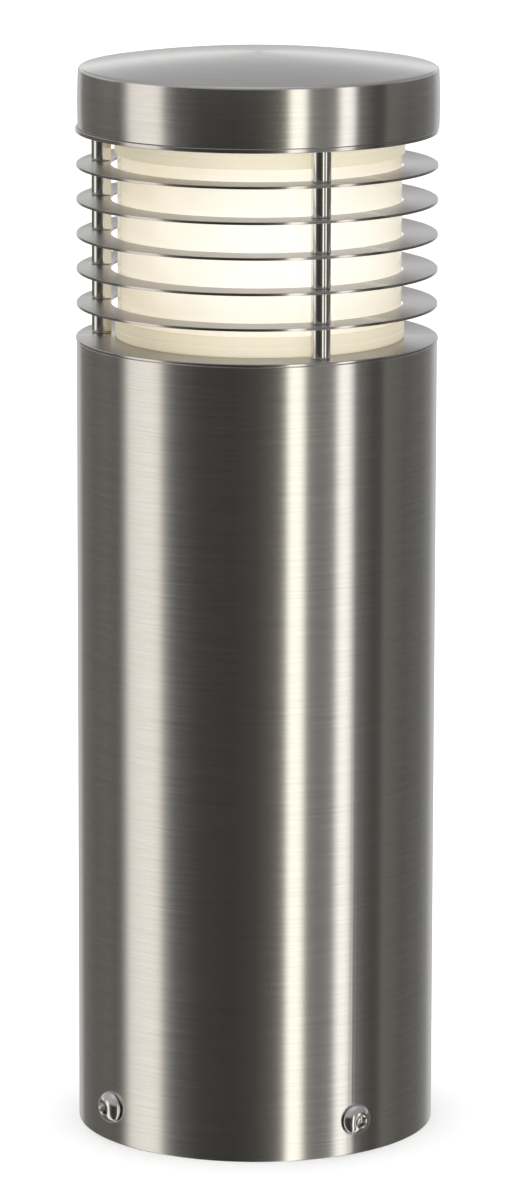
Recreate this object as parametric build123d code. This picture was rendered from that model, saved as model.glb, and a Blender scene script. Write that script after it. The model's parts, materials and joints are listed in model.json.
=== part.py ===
from build123d import *
import math
import os

# A bollard light for a garden path: a stainless tube that stands on an inner base plate, a glass
# cylinder behind five louvre rings on three tie rods, a lift-off lid, and the lamp and wiring inside.
# Millimetres, +Z up. The origin is on the tube's axis at the ground, and the front faces -Y.
# An azimuth is in degrees about the axis, 0 at the front and 90 towards +X.

# Fits and clearances
touch_gap = 0.3          # soft or curved pieces stand this far off the piece that carries them
pin_fit = 0.05           # radial clearance of a shank in a tapped hole, a nut or a terminal
screw_clearance = 0.3    # radial clearance of a screw in a plain hole

# Tube
tube_radius = 63.5
tube_wall = 1.5
tube_height = 283.0

# Plates that close the lamp chamber below and above
body_plate_thickness = 1.1
body_plate_overhang = 0.3
lid_plate_thickness = 1.5
lid_plate_overhang = 0.1
lid_plate_shift = -0.2   # the plate's rim stands this far to the left of the tube's axis

# Louvre rings, on three rods with a spacer sleeve in each gap
ring_count = 5
ring_width = 12.0
ring_thickness = 1.0
ring_edge = 0.15
sleeve_length = 11.25
sleeve_radius = 3.5
sleeve_land = 0.2
rod_radius = 2.0
first_rod_azimuth = 23.4
rod_count = 3
rod_end = 2.0
nut_height = 3.2
nut_across_flats = 7.0
washer_thickness = 0.8
washer_radius = 4.4

# Glass cylinder, frosted sleeve and the two silicone seals that hold them
glass_gap = 1.5
glass_wall = 2.5
glass_shift = 0.9        # the glass and its seals stand this far to the right of the tube's axis
sleeve_gap = 0.2
diffuser_wall = 1.2
seal_lip = 1.0
seal_inner_lip = 1.6
seal_height = 7.25
seal_floor = 1.6
seal_round = 0.9
seal_groove_depth = 0.35
seal_groove_width = 0.9

# Lid
lid_gap = 0.4
lid_skirt_height = 20.7
lid_crown = 5.2
lid_wall = 1.0
lid_low_inset = 0.15
lid_top_inset = 0.35
lid_edge_round = 1.3
lid_shift = 0.4          # the lid sits this far to the right of the tube's axis
neck_setback = 2.9
neck_wall = 1.2
neck_height = 18.0
neck_base_round = 1.0
gasket_overlap = 1.6
clip_width = 10.0
clip_thickness = 0.5
clip_height = 14.0
clip_wall_gap = 0.45
rivet_radius = 1.55
rivet_head_radius = 2.8
rivet_head_height = 0.7

# Side screws that clamp the tube to the base plate, with a square nut on each
side_screw_azimuths = (-53.6, 34.0, 126.4, 214.0)
side_screw_height = 12.5
side_screw_radius = 3.0
side_screw_length = 16.0
side_head_radius = 5.5
side_head_height = 3.4
side_head_rim = 0.7
side_head_flat = 2.5
side_head_gap = 0.05
key_across_flats = 4.0
key_depth = 2.1
clamp_nut_width = 10.0
clamp_nut_thickness = 5.0
clamp_nut_side_gap = 0.2

# Base plate with four turned-up lugs, open at the top so that the tube lifts away with its screws
base_thickness = 3.0
lug_clearance = 1.5
lug_thickness = 2.5
lug_height = 26.0
lug_slot_radius = 3.4
lug_flange_thickness = 2.0
lug_flange_depth = 7.0
lug_bend = 2.4
disc_setback = 2.5
anchor_setback = 14.0
anchor_hole_radius = 3.5
anchor_count = 4
cable_bore_radius = 8.0
bushing_wall = 2.0
bushing_flange_width = 4.0
bushing_flange_height = 2.0

# Lamp, a small globe on an E27 screw cap
lamp_cap_radius = 13.25
lamp_cap_wall = 0.5
lamp_cap_length = 24.0
lamp_globe_radius = 22.5
lamp_globe_wall = 1.2
lamp_collar_height = 16.0
lamp_collar_foot_radius = 14.4
lamp_collar_neck_radius = 18.5
lamp_seat_gap = 1.0
lamp_tip_radius = 4.6

# Lampholder, on a hollow nipple in a U-shaped bracket
holder_rim_drop = 3.0
holder_radius = 19.5
holder_barrel_length = 32.0
holder_cap_height = 22.0
holder_wall = 2.6
holder_core_height = 8.0
shell_wall = 0.7
shell_lamp_gap = 0.6
shell_margin = 2.0
contact_thickness = 0.6
contact_rise = 1.9
contact_width = 6.0
nipple_radius = 5.0
nipple_bore_radius = 3.8
nipple_tail = 9.0
locknut_across_flats = 14.0
locknut_height = 2.5
bracket_leg_gap = 3.5
bracket_width = 18.0
bracket_thickness = 1.5
bracket_bend = 3.0
bracket_screw_radius = 2.0
bracket_screw_head_radius = 3.8
bracket_screw_head_height = 2.3
bracket_screw_length = 8.0
bracket_foot_margin = 5.0
plate_opening_gap = 3.0

# Terminal block on its carrier, and the leads between it and the lampholder
carrier_width = 24.0
carrier_thickness = 1.5
carrier_face = 22.0      # the y of the face that the terminal block is screwed to
carrier_drop = 52.0
block_width = 32.0
block_depth = 17.0
block_height = 20.0
pole_pitch = 10.0
pole_hole_radius = 1.6
pole_hole_depth = 7.0
pole_setback = 8.0
terminal_screw_radius = 1.8
terminal_screw_depth = 5.0
block_screw_radius = 1.5
lead_radius = 1.0
lead_side = 1.35
lead_bend = 8.0
holder_terminal_side = 6.0
holder_terminal_size = 5.0
holder_terminal_height = 3.5
lead_entry = 2.0
earth_screw_side = 19.0
tag_thickness = 0.8
tag_radius = 4.0
tag_barrel_radius = 2.0
tag_barrel_length = 8.0
earth_screw_length = 4.0
earth_screw_head_radius = 3.5
earth_screw_head_height = 2.2

# Heights, from the ground up
body_plate_top = tube_height + body_plate_thickness
louvre_pitch = sleeve_length + ring_thickness
lid_plate_bottom = body_plate_top + ring_count * louvre_pitch + sleeve_length
lid_plate_top = lid_plate_bottom + lid_plate_thickness
lid_bottom = lid_plate_top + lid_gap
lid_shoulder = lid_bottom + lid_skirt_height
lid_top = lid_shoulder + lid_crown
neck_top = lid_plate_top + neck_height
holder_rim = tube_height - holder_rim_drop
barrel_bottom = holder_rim - holder_barrel_length
holder_bottom = barrel_bottom - holder_cap_height
core_bottom = barrel_bottom - holder_core_height / 2
core_top = barrel_bottom + holder_core_height / 2
strap_top = holder_bottom - locknut_height
strap_bottom = strap_top - bracket_thickness
carrier_bottom = strap_bottom - carrier_thickness
nipple_bottom = strap_bottom - nipple_tail
nipple_top = holder_bottom + holder_wall + 1.0
tag_middle = strap_bottom - tag_barrel_radius
carrier_foot = carrier_bottom - carrier_drop
block_bottom = carrier_foot + 3.0
block_top = block_bottom + block_height

# Radii, from the tube inwards
tube_inner_radius = tube_radius - tube_wall
ring_inner_radius = tube_radius - ring_width
rod_pitch_radius = ring_inner_radius + sleeve_land + sleeve_radius
glass_radius = ring_inner_radius - glass_gap
glass_inner_radius = glass_radius - glass_wall
diffuser_radius = glass_inner_radius - sleeve_gap
diffuser_inner_radius = diffuser_radius - diffuser_wall
seal_radius = glass_radius + seal_lip
seal_inner_radius = diffuser_inner_radius - seal_inner_lip
neck_radius = diffuser_inner_radius - neck_setback
neck_inner_radius = neck_radius - neck_wall
lid_low_radius = tube_radius - lid_low_inset
lid_inner_radius = lid_low_radius - lid_wall
shell_inner_radius = lamp_cap_radius + shell_lamp_gap
shell_radius = shell_inner_radius + shell_wall
core_radius = holder_radius - holder_wall
plate_opening_radius = lamp_globe_radius + plate_opening_gap
bracket_leg = holder_radius + bracket_leg_gap
bracket_screw_pitch = seal_inner_radius - bracket_screw_head_radius - 1.5
lug_face = tube_inner_radius - lug_clearance
lug_inner_face = lug_face - lug_thickness
lug_half_width = clamp_nut_width / 2 + clamp_nut_side_gap + lug_flange_thickness
disc_radius = lug_face - disc_setback
anchor_pitch_radius = disc_radius - anchor_setback
bushing_radius = cable_bore_radius + bushing_wall
rod_azimuths = [first_rod_azimuth + 360 / rod_count * i for i in range(rod_count)]
clip_azimuths = [azimuth + 180 / rod_count for azimuth in rod_azimuths]


def disc(radius, low, high, x=0.0, y=0.0):
    """An upright round bar or disc between two heights."""
    return Pos(x, y, low) * extrude(Circle(radius), high - low)


def ring(outer, inner, low, high, x=0.0, y=0.0):
    """An upright tube or flat ring between two heights."""
    return Pos(x, y, low) * extrude(Circle(outer) - Circle(inner), high - low)


def block(width, depth, height, x, y, z):
    """A box centred on x and y that stands on height z."""
    return Pos(x, y, z + height / 2) * Box(width, depth, height)


def facing(azimuth):
    """Turns a piece drawn on +X to an azimuth about the tube's axis."""
    return Rot(0, 0, azimuth - 90)


def spot(azimuth, radius):
    """The x and y of a point at an azimuth and a distance from the axis."""
    angle = math.radians(azimuth)
    return radius * math.sin(angle), -radius * math.cos(angle)


def turned(outline, x=0.0):
    """A solid turned about the vertical axis from a closed outline of (radius, height) points."""
    return Pos(x, 0, 0) * revolve(Plane.XZ * Polygon(*outline, align=None), Axis.Z)


def hex_nut(across_flats, bore, low, high, x=0.0, y=0.0):
    """A hexagon nut with both ends chamfered."""
    corner = across_flats / math.sqrt(3)
    bevel = (corner - across_flats / 2) * 0.6
    flat = across_flats / 2
    height = high - low
    blank = extrude(RegularPolygon(flat, 6, major_radius=False) - Circle(bore), height)
    form = [(0, 0), (flat, 0), (corner, bevel), (corner, height - bevel), (flat, height), (0, height)]
    return Pos(x, y, low) * (blank & turned(form))


def bent_strip(points, bends, thickness, width):
    """A strip of sheet bent along a path of (x, z) points, centred on y = 0."""
    path = FilletPolyline(*points, radius=bends)
    face = Plane.XZ * trace(path, thickness)
    return extrude(face, width / 2, both=True)


def base_plate():
    """Round plate with four channel-shaped lugs, anchor holes and a central cable hole."""
    plate = disc(disc_radius, 0, base_thickness)
    for azimuth in side_screw_azimuths:
        foot = block(disc_setback + 12, 2 * lug_half_width, base_thickness, lug_face - 7.25, 0, 0)
        web = block(lug_thickness, 2 * lug_half_width, lug_height, lug_face - lug_thickness / 2, 0, 0)
        lug = foot + web
        outer_edge = lug.edges().filter_by(Axis.Y).sort_by(Axis.X)[-2:].sort_by(Axis.Z)[0]
        lug = fillet(outer_edge, lug_bend)
        for side in (-1, 1):
            flange_y = side * (lug_half_width - lug_flange_thickness / 2)
            flange_x = lug_inner_face - lug_flange_depth / 2
            lug += block(lug_flange_depth + 1, lug_flange_thickness, lug_height, flange_x + 0.5, flange_y, 0)
        slot = Pos(lug_face, 0, side_screw_height) * Rot(0, 90, 0)
        slot *= Cylinder(lug_slot_radius, 4 * lug_thickness)
        mouth = block(4 * lug_thickness, 2 * lug_slot_radius, lug_height, lug_face, 0, side_screw_height)
        plate += facing(azimuth) * (lug - slot - mouth)
    for i in range(anchor_count):
        azimuth = (side_screw_azimuths[0] + side_screw_azimuths[1]) / 2 + 360 / anchor_count * i
        x, y = spot(azimuth, anchor_pitch_radius)
        plate -= disc(anchor_hole_radius, -1, base_thickness + 1, x, y)
    return plate - disc(bushing_radius + pin_fit, -1, base_thickness + 1)


def cable_bushing():
    """Rubber bushing that lines the cable hole, its flange on top of the base plate."""
    sleeve = ring(bushing_radius, cable_bore_radius, touch_gap, base_thickness)
    flange_top = base_thickness + bushing_flange_height
    flange_radius = bushing_radius + bushing_flange_width
    return sleeve + ring(flange_radius, cable_bore_radius, base_thickness, flange_top)


def tube():
    """The bollard's tube, with a hole for each side screw."""
    wall = ring(tube_radius, tube_inner_radius, 0, tube_height)
    for azimuth in side_screw_azimuths:
        drill = Pos(tube_radius, 0, side_screw_height) * Rot(0, 90, 0)
        drill *= Cylinder(side_screw_radius + screw_clearance, 6 * tube_wall)
        wall -= facing(azimuth) * drill
    return wall


def side_screw(azimuth):
    """Button-head screw with a hexagon socket, its head flat against the tube."""
    seat = tube_radius + side_head_gap
    crown = (side_head_height, side_head_flat)
    rim = (side_head_rim, side_head_radius)
    middle = (side_head_height * 0.74, side_head_radius * 0.76)
    outline = Polyline((0, 0), (0, side_head_radius), rim) + ThreePointArc(rim, middle, crown)
    outline += Polyline(crown, (side_head_height, 0), (0, 0))
    head = revolve(make_face(outline), Axis.X)
    key = RegularPolygon(key_across_flats / 2, 6, major_radius=False)
    head -= Pos(side_head_height - key_depth, 0, 0) * Rot(0, 90, 0) * extrude(key, key_depth + 1)
    shank = Pos(-side_screw_length / 2, 0, 0) * Rot(0, 90, 0)
    shank *= Cylinder(side_screw_radius, side_screw_length)
    return facing(azimuth) * Pos(seat, 0, side_screw_height) * (head + shank)


def clamp_nut(azimuth):
    """Square nut that sits in a lug's channel and draws the tube against the lug."""
    nut = Box(clamp_nut_thickness, clamp_nut_width, clamp_nut_width)
    nut -= Rot(0, 90, 0) * Cylinder(side_screw_radius + pin_fit, 2 * clamp_nut_thickness)
    place = Pos(lug_inner_face - clamp_nut_thickness / 2, 0, side_screw_height)
    return facing(azimuth) * place * nut


def rod_holes(low, high):
    """The three clearance holes that the tie rods pass through."""
    holes = Part()
    for azimuth in rod_azimuths:
        x, y = spot(azimuth, rod_pitch_radius)
        holes += disc(rod_radius + screw_clearance / 2, low - 1, high + 1, x, y)
    return holes


def body_plate():
    """Plate on top of the tube, open in the middle for the lamp."""
    plate = ring(tube_radius + body_plate_overhang, plate_opening_radius, tube_height, body_plate_top)
    plate -= rod_holes(tube_height, body_plate_top)
    for side in (-1, 1):
        x = side * bracket_screw_pitch
        plate -= disc(bracket_screw_radius + screw_clearance / 2, tube_height - 1, body_plate_top + 1, x)
    return plate


def louvre_ring(index):
    """One flat louvre ring, its outer edges broken."""
    top = body_plate_top + index * louvre_pitch
    flat = ring(tube_radius, ring_inner_radius, top - ring_thickness, top)
    outer_edges = flat.edges().filter_by(GeomType.CIRCLE).sort_by(SortBy.RADIUS)[-2:]
    flat = chamfer(outer_edges, ring_edge)
    return flat - rod_holes(top - ring_thickness, top)


def spacer_sleeves(azimuth):
    """The sleeves on one rod: one below, between and above the rings."""
    x, y = spot(azimuth, rod_pitch_radius)
    sleeves = Part()
    for level in range(ring_count + 1):
        low = body_plate_top + level * louvre_pitch
        sleeves += ring(sleeve_radius, rod_radius + screw_clearance / 2, low, low + sleeve_length, x, y)
    return sleeves


def tie_rod(azimuth):
    """Threaded rod from below the body plate to above the lid plate."""
    x, y = spot(azimuth, rod_pitch_radius)
    end = washer_thickness + nut_height + rod_end
    return disc(rod_radius, tube_height - end, lid_plate_top + end, x, y)


def rod_washers(low):
    """The three washers at one end of the tie rods."""
    spots = [spot(azimuth, rod_pitch_radius) for azimuth in rod_azimuths]
    washers = Part()
    for x, y in spots:
        washers += ring(washer_radius, rod_radius + screw_clearance / 2, low, low + washer_thickness, x, y)
    return washers


def rod_nuts(low):
    """The three nuts at one end of the tie rods."""
    nuts = Part()
    for azimuth in rod_azimuths:
        x, y = spot(azimuth, rod_pitch_radius)
        nuts += hex_nut(nut_across_flats, rod_radius + pin_fit, low, low + nut_height, x, y)
    return nuts


def seal(floor, open_side):
    """Silicone seal with a groove for the glass and its sleeve; open_side is +1 upwards, -1 down."""
    face = floor + open_side * seal_height
    groove_floor = floor + open_side * seal_floor
    middle = floor + open_side * seal_height / 2
    body = ring(seal_radius, seal_inner_radius, min(floor, face), max(floor, face), glass_shift)
    outer_edges = body.edges().filter_by(GeomType.CIRCLE).sort_by(SortBy.RADIUS)[-2:]
    body = fillet(outer_edges, seal_round)
    groove = ring(glass_radius + touch_gap, diffuser_inner_radius - touch_gap,
                  min(groove_floor, face + open_side), max(groove_floor, face + open_side), glass_shift)
    line = ring(seal_radius + 1, seal_radius - seal_groove_depth,
                middle - seal_groove_width / 2, middle + seal_groove_width / 2, glass_shift)
    return body - groove - line


def chamber_cylinder(outer, inner):
    """A clear or frosted cylinder that stands in the grooves of both seals."""
    low = body_plate_top + seal_floor + touch_gap
    high = lid_plate_bottom - seal_floor - touch_gap
    return ring(outer, inner, low, high, glass_shift)


def lid_plate():
    """Plate under the lid, its middle drawn up into a rain neck."""
    plate = disc(tube_radius + lid_plate_overhang, lid_plate_bottom, lid_plate_top, lid_plate_shift)
    foot = neck_radius + neck_base_round
    flare = [(0, lid_plate_bottom), (foot, lid_plate_bottom), (foot, lid_plate_top),
             (neck_radius, lid_plate_top + neck_base_round), (neck_radius, neck_top), (0, neck_top)]
    plate += turned(flare)
    plate -= disc(neck_inner_radius, lid_plate_bottom - 1, neck_top + 1)
    plate -= rod_holes(lid_plate_bottom, lid_plate_top)
    for azimuth in clip_azimuths:
        x, y = spot(azimuth, rod_pitch_radius)
        plate -= disc(rivet_radius + pin_fit, lid_plate_bottom - 1, lid_plate_top + 1, x, y)
    return plate


def lid_clips():
    """Three leaf springs on the lid plate that grip the lid's skirt from inside."""
    reach = lid_inner_radius - lid_shift - clip_wall_gap - clip_thickness / 2
    seat = lid_plate_top + clip_thickness / 2
    inner_end = rod_pitch_radius - rivet_head_radius - 2
    points = [(inner_end, seat), (reach - 2.2, seat), (reach, lid_plate_top + clip_height * 0.55),
              (reach - 4, lid_plate_top + clip_height)]
    strip = bent_strip(points, [1.0, 3.0], clip_thickness, clip_width)
    strip -= disc(rivet_radius + pin_fit, lid_plate_top - 1, lid_plate_top + 2, rod_pitch_radius)
    clips = Part()
    for azimuth in clip_azimuths:
        clips += facing(azimuth) * strip
    return clips


def lid_clip_rivets():
    """One rivet through each clip and the lid plate."""
    low = lid_plate_bottom - rivet_head_height
    clip_top = lid_plate_top + clip_thickness
    rivets = Part()
    for azimuth in clip_azimuths:
        x, y = spot(azimuth, rod_pitch_radius)
        rivet = disc(rivet_head_radius, low, lid_plate_bottom, x, y)
        rivet += disc(rivet_radius, low, clip_top + rivet_head_height, x, y)
        rivet += disc(rivet_head_radius, clip_top, clip_top + rivet_head_height, x, y)
        rivets += rivet
    return rivets


def lid_form(inset, low):
    """The lid's outside, or its inside when inset by the wall, as a solid."""
    low_radius = lid_low_radius - inset
    middle_radius = tube_radius - inset
    top_radius = tube_radius - lid_top_inset - inset
    shoulder = lid_shoulder - inset
    crown = lid_top - inset
    middle = (lid_bottom + lid_shoulder) / 2
    quarter = top_radius / 2
    sphere = (top_radius ** 2 + lid_crown ** 2) / (2 * lid_crown)
    half_way = (quarter, crown - sphere + math.sqrt(sphere ** 2 - quarter ** 2))
    outline = Line((0, low), (low_radius, low))
    outline += ThreePointArc((low_radius, low), (middle_radius, middle), (top_radius, shoulder))
    outline += ThreePointArc((top_radius, shoulder), half_way, (0, crown))
    outline += Line((0, crown), (0, low))
    face = make_face(outline)
    corner = face.vertices().sort_by(Axis.X)[-2:].sort_by(Axis.Y)[-1]
    face = fillet(corner, max(lid_edge_round - inset, 0.3))
    return Pos(lid_shift, 0, 0) * revolve(Plane.XZ * face, Axis.Z)


def lid_shell():
    """Spun lid with a gently bellied skirt and a low domed top."""
    return lid_form(0, lid_bottom) - lid_form(lid_wall, lid_bottom - 1)


def lid_gasket():
    """Sponge ring inside the lid, just above the rim of the rain neck."""
    outer = neck_radius + gasket_overlap
    inner = neck_inner_radius - gasket_overlap
    blank = ring(outer, inner, neck_top + touch_gap, lid_top + 1, lid_shift)
    return blank & lid_form(lid_wall, lid_bottom - 1)


def lamp_cap():
    """The lamp's screw cap, a thin shell closed by the insulator below."""
    top = holder_rim + lamp_seat_gap
    return ring(lamp_cap_radius, lamp_cap_radius - lamp_cap_wall, top - lamp_cap_length, top)


def lamp_tip():
    """Insulator cone and centre contact at the foot of the lamp's cap."""
    top = holder_rim + lamp_seat_gap - lamp_cap_length
    low = core_top + contact_thickness + contact_rise
    outline = [(0, low), (lamp_tip_radius, low), (lamp_tip_radius + 0.8, low + 0.7),
               (lamp_cap_radius, top), (0, top)]
    return turned(outline)


def lamp_collar():
    """The lamp's plastic collar, its spigot inside the cap."""
    seat = holder_rim + lamp_seat_gap
    spigot = lamp_cap_radius - lamp_cap_wall - pin_fit
    top = seat + lamp_collar_height
    neck = lamp_collar_neck_radius
    outline = [(0, seat - 10), (spigot, seat - 10), (spigot, seat), (lamp_collar_foot_radius, seat),
               (lamp_collar_foot_radius, seat + 2), (neck - 0.6, top - 4), (neck, top - 3),
               (neck, top), (0, top)]
    return turned(outline)


def lamp_globe():
    """Frosted globe, a hollow ball cut off where it meets the collar."""
    seat = holder_rim + lamp_seat_gap + lamp_collar_height
    neck = lamp_collar_neck_radius - 0.8
    centre = seat + math.sqrt(lamp_globe_radius ** 2 - neck ** 2)
    ball = Sphere(lamp_globe_radius) - Sphere(lamp_globe_radius - lamp_globe_wall)
    ball = Pos(0, 0, centre) * ball
    room = disc(lamp_globe_radius + 1, seat, centre + lamp_globe_radius + 1)
    return ball & room


def holder_barrel():
    """The lampholder's upper insulating barrel."""
    body = ring(holder_radius, shell_radius + pin_fit, barrel_bottom, holder_rim)
    seat = disc(core_radius + pin_fit, barrel_bottom - 1, core_top + pin_fit)
    return body - seat


def holder_shell():
    """Brass shell that the lamp's cap screws into."""
    return ring(shell_radius, shell_inner_radius, core_top + 0.2, holder_rim - shell_margin)


def holder_cap():
    """The lampholder's lower cup, around the wiring space, with a hole for the nipple."""
    cup = disc(holder_radius, holder_bottom, barrel_bottom)
    lower_edge = cup.edges().filter_by(GeomType.CIRCLE).sort_by(Axis.Z)[0]
    cup = fillet(lower_edge, 4.0)
    cup -= disc(core_radius + pin_fit, holder_bottom + holder_wall, barrel_bottom + 1)
    return cup - disc(nipple_radius + pin_fit, holder_bottom - 1, holder_bottom + holder_wall + 1)


def holder_core():
    """Ceramic insert that carries the contacts, between the cap and the barrel."""
    return disc(core_radius, core_bottom, core_top)


def holder_contact():
    """Sprung centre contact on top of the ceramic insert."""
    low = core_top + contact_thickness / 2
    points = [(-9, low), (-4, low), (-1.5, low + contact_rise - 0.35), (4, low + contact_rise - 0.35)]
    return bent_strip(points, [1.0, 1.0], contact_thickness, contact_width)


def holder_terminals():
    """Two brass terminals under the ceramic insert, each with a hole for its lead."""
    terminals = Part()
    low = core_bottom - holder_terminal_height
    for side in (-1, 1):
        x = side * holder_terminal_side
        terminal = block(holder_terminal_size, holder_terminal_size, holder_terminal_height, x, 0, low)
        terminals += terminal - disc(lead_radius + pin_fit, low - 1, low + lead_entry + pin_fit, x)
    return terminals


def holder_nipple():
    """Hollow nipple that holds the lampholder to the bracket and leads its wires."""
    return ring(nipple_radius, nipple_bore_radius, nipple_bottom, nipple_top)


def nipple_locknuts():
    """One nut between the lampholder and the bracket, one under the terminal carrier."""
    upper = hex_nut(locknut_across_flats, nipple_radius + pin_fit, strap_top, holder_bottom)
    low = carrier_bottom - locknut_height
    return upper + hex_nut(locknut_across_flats, nipple_radius + pin_fit, low, carrier_bottom)


def holder_bracket():
    """U-shaped strap under the lampholder, its feet turned out under the body plate."""
    half = bracket_thickness / 2
    middle = strap_bottom + half
    foot = tube_height - half
    end = bracket_screw_pitch + bracket_foot_margin
    leg = bracket_leg + half
    points = [(-end, foot), (-leg, foot), (-leg, middle), (leg, middle), (leg, foot), (end, foot)]
    strap = bent_strip(points, bracket_bend, bracket_thickness, bracket_width)
    strap -= disc(nipple_radius + pin_fit, strap_bottom - 1, strap_top + 1)
    strap -= disc(bracket_screw_radius + pin_fit, strap_bottom - 1, strap_top + 1, earth_screw_side)
    for side in (-1, 1):
        x = side * bracket_screw_pitch
        strap -= disc(bracket_screw_radius + pin_fit, tube_height - 3, tube_height + 1, x)
    return strap


def pan_screw(radius, length, head_radius, head_height):
    """Pan-head screw, head up, its seat at z = 0, with a cross recess."""
    head = disc(head_radius, 0, head_height)
    upper_edge = head.edges().filter_by(GeomType.CIRCLE).sort_by(Axis.Z)[-1]
    head = fillet(upper_edge, head_height * 0.6)
    for turn in (0, 90):
        head -= Rot(0, 0, turn) * block(head_radius, head_radius / 5, head_height, 0, 0, head_height * 0.45)
    return head + disc(radius, -length, 0)


def bracket_screws():
    """Two screws down through the body plate into the bracket's feet."""
    screw = pan_screw(bracket_screw_radius, bracket_screw_length,
                      bracket_screw_head_radius, bracket_screw_head_height)
    left = Pos(-bracket_screw_pitch, 0, body_plate_top) * screw
    return left + Pos(bracket_screw_pitch, 0, body_plate_top) * screw


def terminal_carrier():
    """Angle strip under the bracket, its leg hanging behind the terminal block."""
    half = carrier_thickness / 2
    points = [(-nipple_radius - 4, carrier_bottom + half), (carrier_face + half, carrier_bottom + half),
              (carrier_face + half, carrier_foot)]
    strip = Rot(0, 0, 90) * bent_strip(points, bracket_bend, carrier_thickness, carrier_width)
    strip -= disc(nipple_radius + pin_fit, carrier_bottom - 1, strap_bottom + 1)
    for side in (-1, 1):
        place = Pos(side * pole_pitch / 2, carrier_face, block_bottom + block_height / 2)
        strip -= place * Rot(90, 0, 0) * Cylinder(block_screw_radius + pin_fit, 4 * carrier_thickness)
    return strip


def terminal_block():
    """Three-pole terminal block, wires in from above and below, screws on the front."""
    front = carrier_face - block_depth
    pole_y = carrier_face - pole_setback
    middle = block_bottom + block_height / 2
    body = block(block_width, block_depth, block_height, 0, carrier_face - block_depth / 2, block_bottom)
    for pole in (-1, 0, 1):
        x = pole * pole_pitch
        body -= disc(pole_hole_radius, block_top - pole_hole_depth, block_top + 1, x, pole_y)
        body -= disc(pole_hole_radius, block_bottom - 1, block_bottom + pole_hole_depth, x, pole_y)
        for level in (-1, 1):
            z = middle + level * block_height / 4
            pocket = Cylinder(terminal_screw_radius + pin_fit, 2 * terminal_screw_depth)
            body -= Pos(x, front, z) * Rot(90, 0, 0) * pocket
    for side in (-1, 1):
        drill = Cylinder(block_screw_radius + pin_fit, 4 * block_depth)
        body -= Pos(side * pole_pitch / 2, front, middle) * Rot(90, 0, 0) * drill
    return body


def terminal_screws():
    """Six slotted clamp screws, two to a pole, sunk in the block's front."""
    front = carrier_face - block_depth
    middle = block_bottom + block_height / 2
    screws = Part()
    for pole in (-1, 0, 1):
        for level in (-1, 1):
            screw = disc(terminal_screw_radius, 0, terminal_screw_depth - 1.5)
            screw -= block(3 * terminal_screw_radius, 0.6, 1, 0, 0, terminal_screw_depth - 2.3)
            place = Pos(pole * pole_pitch, front + terminal_screw_depth, middle + level * block_height / 4)
            screws += place * Rot(90, 0, 0) * screw
    return screws


def block_screws():
    """Two long screws that hold the terminal block to its carrier."""
    front = carrier_face - block_depth
    middle = block_bottom + block_height / 2
    length = block_depth + carrier_thickness + 2
    screw = pan_screw(block_screw_radius, length, 1.8 * block_screw_radius, block_screw_radius)
    left = Pos(-pole_pitch / 2, front, middle) * Rot(90, 0, 0) * screw
    return left + Pos(pole_pitch / 2, front, middle) * Rot(90, 0, 0) * screw


def wire(points, bend):
    """An insulated lead along straight runs joined by arcs of one radius."""
    path = FilletPolyline(*points, radius=bend)
    print("lead length", round(path.length, 1), "bend radius", bend)
    return sweep(Plane(origin=path @ 0, z_dir=path % 0) * Circle(lead_radius), path=path)


def mains_lead(side):
    """Lead from one pole of the block, up through the nipple, to its lampholder terminal."""
    pole_y = carrier_face - pole_setback
    nipple_x = side * lead_side
    terminal_x = side * holder_terminal_side
    terminal_low = core_bottom - holder_terminal_height
    points = [(side * pole_pitch, pole_y, block_top - pole_hole_depth + 1),
              (side * pole_pitch, pole_y, block_top + 7),
              (nipple_x, 0, nipple_bottom - 6),
              (nipple_x, 0, nipple_top + 0.5),
              (terminal_x, 0, terminal_low - 3),
              (terminal_x, 0, terminal_low + lead_entry)]
    return wire(points, [lead_bend, lead_bend, lead_bend / 2, lead_bend / 2])


def lead_earth():
    """Lead from the middle pole to the tag under the bracket."""
    pole_y = carrier_face - pole_setback
    mouth = tag_radius + tag_barrel_length
    points = [(0, pole_y, block_top - pole_hole_depth + 1),
              (0, pole_y, block_top + 9),
              (earth_screw_side - 3, pole_y + 3, block_top + 20),
              (earth_screw_side, mouth + 9, tag_middle),
              (earth_screw_side, mouth - 4, tag_middle)]
    return wire(points, [lead_bend, lead_bend / 2, lead_bend / 2])


def earth_tag():
    """Ring tag under the bracket's strap, with a barrel crimped on the earth lead."""
    flat = disc(tag_radius, strap_bottom - tag_thickness, strap_bottom, earth_screw_side)
    neck = block(3.0, 4.0, tag_thickness, earth_screw_side, tag_radius + 1, strap_bottom - tag_thickness)
    barrel = Pos(earth_screw_side, tag_radius + tag_barrel_length / 2, tag_middle) * Rot(90, 0, 0)
    barrel *= Cylinder(tag_barrel_radius, tag_barrel_length)
    bore = Pos(earth_screw_side, tag_radius + tag_barrel_length / 2 + 2, tag_middle) * Rot(90, 0, 0)
    bore *= Cylinder(lead_radius + 0.15, tag_barrel_length)
    hole = disc(bracket_screw_radius + pin_fit, strap_bottom - 5, strap_bottom + 1, earth_screw_side)
    return flat + neck + barrel - bore - hole


def earth_screw():
    """Screw that holds the earth tag, from below, in the bracket's tapped hole."""
    screw = pan_screw(bracket_screw_radius, earth_screw_length,
                      earth_screw_head_radius, earth_screw_head_height)
    return Pos(earth_screw_side, 0, strap_bottom - tag_thickness) * Rot(180, 0, 0) * screw


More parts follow.
